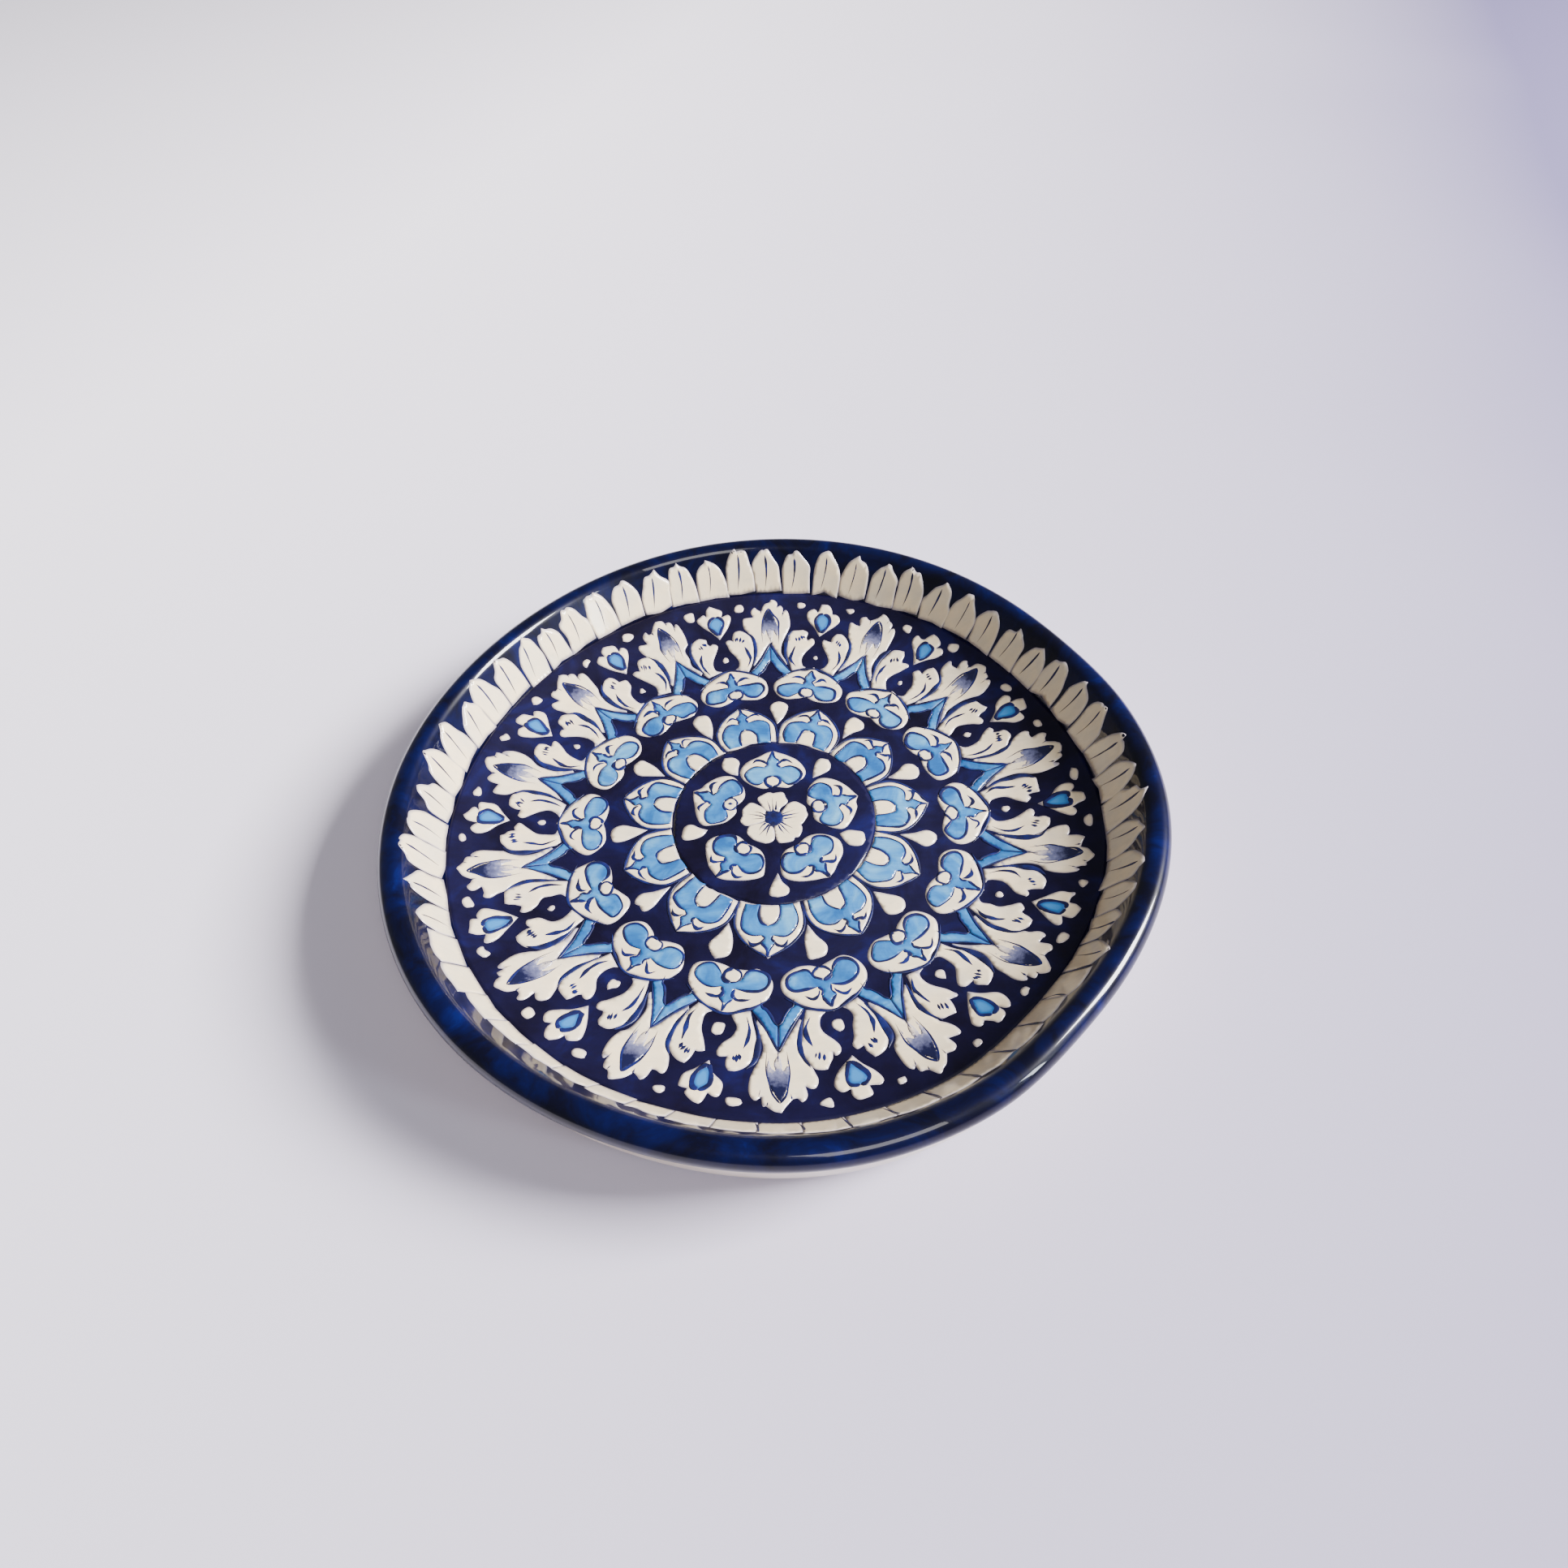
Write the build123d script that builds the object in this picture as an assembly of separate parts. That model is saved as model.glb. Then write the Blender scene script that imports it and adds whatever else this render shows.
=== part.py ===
from build123d import *
import math
import os

# A hand painted ceramic plate: a thrown clay body on a foot ring, its glaze coats, and the painted
# pattern laid on them as thin coats of colour. Millimetres, +Z up, origin at the middle of the foot
# where it meets the table.

# ---------------------------------------------------------------- driving sizes of the clay
plate_diameter = 300.0    # over the rolled lip, glaze included
plate_height = 43.2       # table to the top of the lip, glaze included
rim_band = 19.7           # plan width from the edge of the well to the outside of the lip
wall_angle = 60.6         # slope of the inner wall, degrees from level
lip_radius = 5.3          # rolled lip, glaze included
lip_turn = 50.0           # how far the lip turns under past its outermost point, degrees
floor_radius = 72.0       # flat middle of the well
foot_clearance = 4.5      # air between the table and the glazed underside
clay_thickness = 6.5      # under the well
foot_inset = 12.0         # plan distance from the outside of the lip in to the foot
foot_width = 6.5          # wall of the foot at the table
foot_height = 8.0         # height of the turned ring below the body
foot_rounding = 1.2       # worn round edges of the foot
wall_bulge = 2.0          # how far the outer wall swells beyond a straight side
bare_foot = 2.0           # height above the table where the cream glaze stops

# ---------------------------------------------------------------- thickness of each coat
glaze = 0.5               # cream and cobalt ground coats
disc_wash = 0.2           # second, darker wash on the middle disc
ivory = 0.4               # ivory slip of the motifs
pearl = 0.5               # dabs of thick ivory
blue = 0.25               # light blue fills
stroke = 0.2              # navy strokes and washes

# ---------------------------------------------------------------- how often each motif repeats
wall_petal_count = 60
border_count = 14
rosette_count = 11
heart_count = 5

# ---------------------------------------------------------------- derived sizes of the clay
plate_radius = plate_diameter / 2
well_edge = plate_radius - rim_band
clay_lip = lip_radius - glaze
lip_r = plate_radius - lip_radius
lip_z = plate_height - lip_radius
slope = math.radians(wall_angle)
underside = foot_clearance + glaze
clay_floor = underside + clay_thickness
foot_outer = plate_radius - foot_inset
foot_inner = foot_outer - foot_width


def glazed_wall_height(radius):
    # height of the finished inner wall above a plan radius
    touch_r = lip_r - lip_radius * math.sin(slope)
    touch_z = lip_z + lip_radius * math.cos(slope)
    return touch_z - (touch_r - radius) * math.tan(slope)


# the well sweeps up from the flat floor in one arc that ends at the edge of the well
rise = glazed_wall_height(well_edge) - clay_floor - glaze
reach = well_edge - floor_radius
well_arc = (reach ** 2 + rise ** 2) / (2 * rise) + glaze
well_centre = (floor_radius, clay_floor + well_arc)


def well_height(radius, lift):
    # height of the layer that lies lift above the clay, in the well
    if radius <= floor_radius:
        return clay_floor + lift
    swing = well_arc - lift
    return well_centre[1] - math.sqrt(swing ** 2 - (radius - floor_radius) ** 2)


def wall_top(lift):
    # where the inner wall runs into the lip, lift above the clay
    swing = clay_lip + lift
    return (lip_r - swing * math.sin(slope), lip_z + swing * math.cos(slope))


def well_corner(lift):
    # where the well's arc meets the inner wall, lift above the clay
    top_r, top_z = wall_top(lift)
    off_r = top_r - well_centre[0]
    off_z = top_z - well_centre[1]
    along = off_r * math.cos(slope) + off_z * math.sin(slope)
    swing = well_arc - lift
    back = along + math.sqrt(along ** 2 - off_r ** 2 - off_z ** 2 + swing ** 2)
    return (top_r - back * math.cos(slope), top_z - back * math.sin(slope))


def on_lip(angle, lift):
    # a point of the lip, its angle in degrees from straight out
    turn = math.radians(angle)
    swing = clay_lip + lift
    return (lip_r + swing * math.cos(turn), lip_z + swing * math.sin(turn))


# the outer wall is one arc from under the lip to the foot's edge
side_top = on_lip(-lip_turn, 0)
side_low = (foot_outer, 0.0)
side_chord = math.hypot(side_top[0] - side_low[0], side_top[1] - side_low[1])
side_arc = side_chord ** 2 / (8 * wall_bulge) + wall_bulge / 2
side_in = ((side_low[1] - side_top[1]) / side_chord, (side_top[0] - side_low[0]) / side_chord)
side_centre = (
    (side_top[0] + side_low[0]) / 2 + side_in[0] * (side_arc - wall_bulge),
    (side_top[1] + side_low[1]) / 2 + side_in[1] * (side_arc - wall_bulge),
)


def on_side(height, lift):
    # a point of the outer wall at a height, lift outside the clay
    swing = side_arc + lift
    return (side_centre[0] + math.sqrt(swing ** 2 - (height - side_centre[1]) ** 2), height)


def under_lip(lift):
    # where the coat of the lip meets the coat of the outer wall
    lip_swing = clay_lip + lift
    side_swing = side_arc + lift
    gap_r = lip_r - side_centre[0]
    gap_z = lip_z - side_centre[1]
    apart = math.hypot(gap_r, gap_z)
    along = (side_swing ** 2 - lip_swing ** 2 + apart ** 2) / (2 * apart)
    across = math.sqrt(side_swing ** 2 - along ** 2)
    return (
        side_centre[0] + (along * gap_r + across * gap_z) / apart,
        side_centre[1] + (along * gap_z - across * gap_r) / apart,
    )


def side_middle(top, low, lift):
    # a point on the outer wall's arc halfway down a stretch of it
    return on_side((top[1] + low[1]) / 2, lift)


def under_height(radius, lift):
    # height of the body's underside, lift below the clay
    if radius <= floor_radius:
        return underside - lift
    swing = well_arc + clay_thickness + lift
    return well_centre[1] - math.sqrt(swing ** 2 - (radius - floor_radius) ** 2)


# ---------------------------------------------------------------- turned solids
def at(point):
    # sections are drawn on the -X side, so that every seam lies there
    return Vector(-point[0], 0, point[1])


def straight(start, end):
    return Line(at(start), at(end))


def curved(start, middle, end):
    return ThreePointArc(at(start), at(middle), at(end))


def turned(edges):
    return revolve(make_face(edges), axis=Axis.Z)


def well_run(lift, outward):
    # floor and well arc at one lift, from the middle outwards or back
    centre = (0.0, well_height(0, lift))
    floor_end = (floor_radius, well_height(floor_radius, lift))
    corner = well_corner(lift)
    middle_r = (floor_radius + corner[0]) / 2
    middle = (middle_r, well_height(middle_r, lift))
    if outward:
        return [straight(centre, floor_end), curved(floor_end, middle, corner)]
    return [curved(corner, middle, floor_end), straight(floor_end, centre)]


def well_layer(low, high):
    # a coat on the floor and sides of the well
    edges = well_run(low, True)
    edges.append(straight(well_corner(low), well_corner(high)))
    edges += well_run(high, False)
    edges.append(straight((0, well_height(0, high)), (0, well_height(0, low))))
    return turned(edges)


def wall_layer(low, high):
    # a coat on the inner wall, from the edge of the well to the start of the lip
    edges = [
        straight(well_corner(low), wall_top(low)),
        straight(wall_top(low), wall_top(high)),
        straight(wall_top(high), well_corner(high)),
        straight(well_corner(high), well_corner(low)),
    ]
    return turned(edges)


def clay_body():
    start = (0.0, underside)
    floor_end = (floor_radius, underside)
    recess = (foot_inner, under_height(foot_inner, 0))
    half_r = (floor_radius + foot_inner) / 2
    seat_in = (foot_inner, foot_height)
    seat_out = on_side(foot_height, 0)
    edges = [
        straight(start, floor_end),
        curved(floor_end, (half_r, under_height(half_r, 0)), recess),
        straight(recess, seat_in),
        straight(seat_in, seat_out),
        curved(seat_out, side_middle(side_top, seat_out, 0), side_top),
        curved(side_top, on_lip(wall_angle / 2, 0), wall_top(0)),
        straight(wall_top(0), well_corner(0)),
    ]
    edges += well_run(0, False)
    edges.append(straight((0, clay_floor), start))
    return turned(edges)


def foot_ring():
    seat_in = (foot_inner, foot_height)
    seat_out = on_side(foot_height, 0)
    edges = [
        straight((foot_inner, 0), side_low),
        curved(side_low, on_side(foot_height / 2, 0), seat_out),
        straight(seat_out, seat_in),
        straight(seat_in, (foot_inner, 0)),
    ]
    ring = turned(edges)
    worn = ring.edges().filter_by(GeomType.CIRCLE).group_by(Axis.Z)[0]
    return fillet(worn, foot_rounding)


def rim_glaze():
    top = on_lip(wall_angle / 2, 0)
    edges = [
        straight(well_corner(0), wall_top(0)),
        curved(wall_top(0), top, side_top),
        straight(side_top, under_lip(glaze)),
        curved(under_lip(glaze), on_lip(wall_angle / 2, glaze), wall_top(glaze)),
        straight(wall_top(glaze), well_corner(glaze)),
        straight(well_corner(glaze), well_corner(0)),
    ]
    return turned(edges)


def outer_glaze():
    inner_end = on_side(bare_foot, 0)
    outer_end = on_side(bare_foot, glaze)
    outer_top = under_lip(glaze)
    edges = [
        curved(side_top, side_middle(side_top, inner_end, 0), inner_end),
        straight(inner_end, outer_end),
        curved(outer_end, side_middle(outer_top, outer_end, glaze), outer_top),
        straight(outer_top, side_top),
    ]
    return turned(edges)


def underside_glaze():
    half_r = (floor_radius + foot_inner) / 2
    face = foot_inner - glaze
    edges = [
        straight((0, underside), (floor_radius, underside)),
        curved(
            (floor_radius, underside),
            (half_r, under_height(half_r, 0)),
            (foot_inner, under_height(foot_inner, 0)),
        ),
        straight((foot_inner, under_height(foot_inner, 0)), (foot_inner, bare_foot)),
        straight((foot_inner, bare_foot), (face, bare_foot)),
        straight((face, bare_foot), (face, under_height(face, glaze))),
        curved(
            (face, under_height(face, glaze)),
            (half_r, under_height(half_r, glaze)),
            (floor_radius, foot_clearance),
        ),
        straight((floor_radius, foot_clearance), (0, foot_clearance)),
        straight((0, foot_clearance), (0, underside)),
    ]
    return turned(edges)


# ---------------------------------------------------------------- painted outlines
# An outline point is (side, out): side runs from -1 to 1 across the motif's share of its ring, and out
# is its distance from the plate's axis in radii of the well. A run of two points is a line, and a run
# of more is one smooth curve. Each half outline starts on the motif's own axis and ends on it.
def mirrored(half):
    other = []
    for run in reversed(half):
        other.append([(-side, out) for side, out in reversed(run)])
    return half + other


def painted(runs, count):
    # the flat face that a set of runs encloses, on a motif whose axis is +X
    half_share = math.pi / count
    edges = []
    for run in runs:
        points = []
        for side, out in run:
            radius = out * well_edge
            points.append(Vector(radius * math.cos(side * half_share), radius * math.sin(side * half_share)))
        edges.append(Line(*points) if len(points) == 2 else Spline(*points))
    return make_face(edges)


def laid(layer, face):
    # the part of a coat that lies over a flat outline
    return layer & extrude(face, amount=plate_height + 1)


def ring_of(shape, count, first_angle):
    # copies of a shape about the plate's axis
    copies = []
    for index in range(count):
        copies += (Rot(0, 0, first_angle + 360 * index / count) * shape).solids()
    return Compound(children=copies)


def flipped(shape):
    return mirror(shape, about=Plane.XZ)


wall_petal = [
    [(0, 1.071), (0.42, 1.064), (0.78, 1.046), (0.90, 1.020), (0.92, 0.985)],
    [(0.92, 0.985), (0, 0.985)],
]
wall_rib = [
    [(0, 1.058), (0.10, 1.046)],
    [(0.10, 1.046), (0.06, 1.022)],
    [(0.06, 1.022), (0, 1.008)],
]
leaf = [
    [(0, 0.967), (0.09, 0.953), (0.16, 0.933)],
    [(0.16, 0.933), (0.27, 0.943), (0.34, 0.929), (0.33, 0.903)],
    [(0.33, 0.903), (0.47, 0.906), (0.52, 0.887), (0.46, 0.855), (0.44, 0.844)],
    [(0.44, 0.844), (0.35, 0.820), (0.32, 0.782), (0.33, 0.745), (0.40, 0.704)],
    [(0.40, 0.704), (0.37, 0.695)],
    [(0.37, 0.695), (0.21, 0.729), (0.04, 0.783), (0, 0.800)],
]
throat = [
    [(0, 0.934), (0.10, 0.913), (0.155, 0.880), (0.168, 0.835)],
    [(0.168, 0.835), (0.125, 0.868), (0.085, 0.893)],
    [(0.085, 0.893), (0.04, 0.872), (0, 0.840)],
]
curl = [
    [
        (0.515, 0.669), (0.43, 0.702), (0.355, 0.745), (0.35, 0.782),
        (0.39, 0.819), (0.475, 0.842), (0.575, 0.852), (0.676, 0.8545),
    ],
    [(0.676, 0.8545), (0.743, 0.840), (0.776, 0.813)],
    [
        (0.776, 0.813), (0.900, 0.8155), (0.920, 0.802), (0.855, 0.778),
        (0.743, 0.749), (0.709, 0.7235), (0.740, 0.697), (0.830, 0.686),
    ],
    [(0.830, 0.686), (0.515, 0.669)],
]
curl_vein = [
    [(0.520, 0.784), (0.465, 0.752), (0.485, 0.716), (0.565, 0.690)],
    [(0.565, 0.690), (0.510, 0.720), (0.495, 0.752), (0.520, 0.784)],
]
stem = [
    [(0.012, 0.785), (0.195, 0.7225), (0.345, 0.689), (0.465, 0.666)],
    [(0.465, 0.666), (0.375, 0.655)],
    [(0.375, 0.655), (0.200, 0.679), (0.105, 0.703), (0.012, 0.722)],
    [(0.012, 0.722), (0.012, 0.785)],
]
tulip = [
    [(0, 0.962), (0.085, 0.950), (0.11, 0.923)],
    [(0.11, 0.923), (0.20, 0.932), (0.275, 0.925), (0.262, 0.900), (0.15, 0.868), (0, 0.839)],
]
tulip_fill = [
    [(0, 0.919), (0.075, 0.914), (0.098, 0.896), (0.055, 0.872), (0, 0.859)],
]
border_dot = [
    [(-0.09, 0.953), (-0.05, 0.966), (0.05, 0.965), (0.09, 0.954)],
    [(0.09, 0.954), (0.04, 0.940), (-0.04, 0.941), (-0.09, 0.953)],
]
loop_drop = [
    [(0, 0.757), (0.07, 0.742), (0.115, 0.724), (0.07, 0.716), (0, 0.7155)],
]
medallion = [
    [
        (0, 0.682), (0.47, 0.661), (0.77, 0.636), (0.905, 0.600),
        (0.86, 0.558), (0.52, 0.536), (0, 0.549),
    ],
]
medallion_fill = [
    [(0, 0.679), (0.05, 0.655), (0.13, 0.638)],
    [(0.13, 0.638), (0.10, 0.620), (0.15, 0.607)],
    [
        (0.15, 0.607), (0.43, 0.602), (0.66, 0.592), (0.755, 0.575),
        (0.66, 0.556), (0.48, 0.549), (0.30, 0.556), (0.20, 0.570),
    ],
    [(0.20, 0.570), (0.11, 0.584), (0, 0.588)],
]
medallion_pearl = [
    [(0, 0.5845), (0.12, 0.579), (0.17, 0.568), (0.12, 0.558), (0, 0.553)],
]
rosette_petal = [
    [(0, 0.497), (0.30, 0.474), (0.62, 0.445), (0.85, 0.412), (0.945, 0.375), (0.955, 0.328)],
    [(0.955, 0.328), (0.48, 0.327), (0, 0.327)],
]
rosette_fill = [
    [(0, 0.493), (0.06, 0.466), (0.17, 0.444)],
    [(0.17, 0.444), (0.13, 0.432), (0.20, 0.421)],
    [(0.20, 0.421), (0.55, 0.418), (0.72, 0.398), (0.745, 0.333)],
    [(0.745, 0.333), (0.58, 0.332), (0.40, 0.332)],
    [(0.40, 0.332), (0.36, 0.365), (0.20, 0.391), (0, 0.399)],
]
rosette_pearl = [
    [(0, 0.3945), (0.16, 0.387), (0.30, 0.362), (0.34, 0.332)],
    [(0.34, 0.332), (0.17, 0.331), (0, 0.331)],
]
rosette_dart = [
    [(0, 0.519), (0.16, 0.509), (0.215, 0.484), (0.12, 0.446), (0, 0.410)],
]
heart = [
    [
        (0, 0.286), (0.27, 0.267), (0.56, 0.251), (0.80, 0.228), (0.86, 0.198),
        (0.80, 0.160), (0.60, 0.134), (0.30, 0.1265), (0, 0.131),
    ],
]
heart_fill = [
    [(0, 0.281), (0.05, 0.256), (0.14, 0.236)],
    [(0.14, 0.236), (0.12, 0.222), (0.20, 0.210)],
    [
        (0.20, 0.210), (0.48, 0.214), (0.69, 0.201), (0.72, 0.176),
        (0.54, 0.152), (0.30, 0.158),
    ],
    [(0.30, 0.158), (0.16, 0.171), (0, 0.175)],
]
heart_pearl = [
    [(0, 0.1705), (0.16, 0.164), (0.22, 0.152), (0.17, 0.139), (0, 0.1345)],
]
centre_drop = [
    [(0, 0.300), (0.13, 0.291), (0.18, 0.268), (0.11, 0.238), (0, 0.212)],
]
flower_petal = [
    [(0, 0.097), (0.36, 0.103), (0.78, 0.088), (0.90, 0.062), (0.74, 0.040), (0, 0.033)],
]
disc_radius = 0.3215      # middle disc, in radii of the well
eye_radius = 0.030        # dark eye of the middle flower, in radii of the well
dot_side = 0.56           # how far the border dots stand from the leaf's axis, as a share of the ring

# ---------------------------------------------------------------- where each ring of motifs starts
medallion_start = 0.0
leaf_start = medallion_start + 180 / border_count
rosette_start = -93.0
dart_start = rosette_start + 180 / rosette_count
heart_start = 90.0
drop_start = heart_start + 180 / heart_count

# ---------------------------------------------------------------- the coats that the pattern is cut from
ground = glaze
ivory_top = ground + ivory
ivory_coat = well_layer(ground, ivory_top)
blue_coat = well_layer(ivory_top, ivory_top + blue)
pearl_coat = well_layer(ivory_top, ivory_top + pearl)
stroke_coat = well_layer(ivory_top, ivory_top + stroke)
stem_coat = well_layer(ground, ground + blue)
wall_ivory_coat = wall_layer(ground, ivory_top)
wall_stroke_coat = wall_layer(ivory_top, ivory_top + stroke)
disc_ground = ground + disc_wash
disc_ivory_top = disc_ground + ivory
disc_coat = well_layer(ground, disc_ground)
disc_ivory_coat = well_layer(disc_ground, disc_ivory_top)
disc_blue_coat = well_layer(disc_ivory_top, disc_ivory_top + blue)
disc_pearl_coat = well_layer(disc_ivory_top, disc_ivory_top + pearl)
disc_stroke_coat = well_layer(disc_ground, disc_ground + stroke)


def motif(layer, half, count, start):
    # one ring of a motif whose two halves match
    return ring_of(laid(layer, painted(mirrored(half), count)), count, start)


def paired_motif(layer, runs, count, start):
    # one ring of a motif that stands in pairs, left and right of an axis
    one = laid(layer, painted(runs, count))
    right = ring_of(one, count, start)
    left = ring_of(flipped(one), count, start)
    return Compound(children=right.solids() + left.solids())


def border_dots():
    # loose dots between the leaves and the tulips
    one = laid(ivory_coat, painted(border_dot, border_count))
    turn = dot_side * 180 / border_count
    copies = ring_of(one, border_count, leaf_start + turn).solids()
    copies += ring_of(one, border_count, leaf_start - turn).solids()
    return Compound(children=copies)


nodes = {
    "clay_body": clay_body(),
    "foot_ring": foot_ring(),
    "rim_glaze": rim_glaze(),
    "outer_glaze": outer_glaze(),
    "underside_glaze": underside_glaze(),
    "well_glaze": well_layer(0, ground),
    "centre_disc": laid(disc_coat, Circle(disc_radius * well_edge)),
    "wall_petals": motif(wall_ivory_coat, wall_petal, wall_petal_count, 0),
    "wall_petal_ribs": motif(wall_stroke_coat, wall_rib, wall_petal_count, 0),
    "acanthus_leaves": motif(ivory_coat, leaf, border_count, leaf_start),
    "leaf_throats": motif(stroke_coat, throat, border_count, leaf_start),
    "leaf_curls": paired_motif(ivory_coat, curl, border_count, leaf_start),
    "curl_veins": paired_motif(stroke_coat, curl_vein, border_count, leaf_start),
    "leaf_stems": paired_motif(stem_coat, stem, border_count, leaf_start),
    "tulips": motif(ivory_coat, tulip, border_count, medallion_start),
    "tulip_fills": motif(blue_coat, tulip_fill, border_count, medallion_start),
    "border_dots": border_dots(),
    "loop_drops": motif(ivory_coat, loop_drop, border_count, medallion_start),
    "medallions": motif(ivory_coat, medallion, border_count, medallion_start),
    "medallion_fills": motif(blue_coat, medallion_fill, border_count, medallion_start),
    "medallion_pearls": motif(pearl_coat, medallion_pearl, border_count, medallion_start),
    "rosette_petals": motif(ivory_coat, rosette_petal, rosette_count, rosette_start),
    "rosette_fills": motif(blue_coat, rosette_fill, rosette_count, rosette_start),
    "rosette_pearls": motif(pearl_coat, rosette_pearl, rosette_count, rosette_start),
    "rosette_darts": motif(ivory_coat, rosette_dart, rosette_count, dart_start),
    "centre_hearts": motif(disc_ivory_coat, heart, heart_count, heart_start),
    "heart_fills": motif(disc_blue_coat, heart_fill, heart_count, heart_start),
    "heart_pearls": motif(disc_pearl_coat, heart_pearl, heart_count, heart_start),
    "centre_drops": motif(disc_ivory_coat, centre_drop, heart_count, drop_start),
    "flower_petals": motif(disc_ivory_coat, flower_petal, heart_count, heart_start),
    "flower_eye": laid(disc_stroke_coat, Circle(eye_radius * well_edge)),
}

os.makedirs("parts", exist_ok=True)
for name, shape in nodes.items():
    export_step(shape, "parts/" + name + ".step")
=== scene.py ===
import math
import random

import bpy
import numpy as np
from mathutils import Matrix, Vector
from mathutils.geometry import delaunay_2d_cdt


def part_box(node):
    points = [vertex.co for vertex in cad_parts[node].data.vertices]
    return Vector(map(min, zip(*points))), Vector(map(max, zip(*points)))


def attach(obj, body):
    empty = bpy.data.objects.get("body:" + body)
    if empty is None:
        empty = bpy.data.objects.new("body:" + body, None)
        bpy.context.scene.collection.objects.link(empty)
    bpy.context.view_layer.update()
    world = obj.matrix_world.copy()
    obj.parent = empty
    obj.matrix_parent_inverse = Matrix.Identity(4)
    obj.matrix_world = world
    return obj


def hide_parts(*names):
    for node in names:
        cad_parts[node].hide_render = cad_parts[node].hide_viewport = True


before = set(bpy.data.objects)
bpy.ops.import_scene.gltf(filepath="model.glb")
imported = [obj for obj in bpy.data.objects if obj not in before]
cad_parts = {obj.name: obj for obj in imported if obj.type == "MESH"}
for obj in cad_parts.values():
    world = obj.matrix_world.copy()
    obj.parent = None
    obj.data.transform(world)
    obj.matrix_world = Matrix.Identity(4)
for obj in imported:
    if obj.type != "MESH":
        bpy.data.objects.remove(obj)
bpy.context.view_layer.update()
print("frame loaded")

# the plate's own measures, in metres: outer sizes come from the frame
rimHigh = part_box("rim_glaze")[1]
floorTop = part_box("centre_disc")[0][2]
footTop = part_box("foot_ring")[1][2]
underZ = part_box("clay_body")[0][2]

plate = {
    "rimBand": 0.0197,       # plan width of wall and lip
    "wallAngle": 60.6,       # inner wall, degrees from level
    "lipRadius": 0.0053,
    "lipTurn": 50.0,         # how far the lip rolls under, degrees
    "floorRadius": 0.072,
    "glaze": 0.0005,
    "wallBulge": 0.002,
    "footOuter": 0.138,      # outer radius of the foot
    "footWidth": 0.0065,
    "footRounding": 0.0012,
    "bareFoot": 0.002,       # height where the cream glaze stops
    "sideSteps": 600,        # points round the plate
    "wellStep": 0.0016,      # between points of the section
    "wallStep": 0.0008,
    "creaseBlend": 0.0004,
    "coatBevel": 0.0002,
    "coatShort": 4.0,        # the glaze's face ends this much before the lip's roll, degrees
}
plateRadius = rimHigh[0]
plateTop = rimHigh[2]
wellEdge = plateRadius - plate["rimBand"]
slope = math.radians(plate["wallAngle"])
lipR = plateRadius - plate["lipRadius"]
lipZ = plateTop - plate["lipRadius"]
wallTopR = lipR - plate["lipRadius"] * math.sin(slope)
wallTopZ = lipZ + plate["lipRadius"] * math.cos(slope)
edgeZ = wallTopZ - (wallTopR - wellEdge) * math.tan(slope)
reach = wellEdge - plate["floorRadius"]
rise = edgeZ - floorTop
wellArc = (reach ** 2 + rise ** 2) / (2 * rise)

# hand thrown unevenness of the rim: (waves round the plate, size, where the wave peaks in degrees)
thrown = {
    "rimWaves": [(2, 0.0031, 32), (3, 0.0049, -14), (4, 0.0047, 6), (5, 0.0047, -8), (6, 0.0031, -8)],
    "rimDents": [(-48, -0.0035, 8), (-62, 0.0030, 7), (29, -0.0035, 10), (14, 0.0030, 9)],
    "liftWaves": [(2, 0.0005, 60), (3, 0.0004, 200), (5, 0.0003, 15)],
    "startsAt": 0.62,        # share of the well's radius where the waves begin
    "fullAt": 1.12,
    "ripple": 0.00007,       # throwing rings left in the clay
    "ripplePitch": 0.0085,
}


def warp(points):
    # bends exact turned points into the uneven thrown shape
    radius = np.hypot(points[:, 0], points[:, 1])
    angle = np.arctan2(points[:, 1], points[:, 0])
    span = thrown["fullAt"] - thrown["startsAt"]
    share = np.clip((radius / wellEdge - thrown["startsAt"]) / span, 0, 1)
    share = share * share * (3 - 2 * share)
    out = np.zeros_like(angle)
    for waves, size, peak in thrown["rimWaves"]:
        out += size * np.cos(waves * (angle - math.radians(peak)))
    for middle, size, width in thrown["rimDents"]:
        away = np.degrees(np.abs((angle - math.radians(middle) + math.pi) % (2 * math.pi) - math.pi))
        out += size * np.exp(-(away / width) ** 2)
    up = np.zeros_like(angle)
    for waves, size, peak in thrown["liftWaves"]:
        up += size * np.cos(waves * (angle - math.radians(peak)))
    height = np.clip(points[:, 2] / plateTop, 0, 1)
    swirl = np.sin(2 * math.pi * radius / thrown["ripplePitch"] + angle)
    result = points.copy()
    result[:, 0] *= 1 + out * share
    result[:, 1] *= 1 + out * share
    result[:, 2] += up * share * height
    result[:, 2] += thrown["ripple"] * swirl * np.clip(height * 4 - 0.6, 0, 1)
    return result


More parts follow.
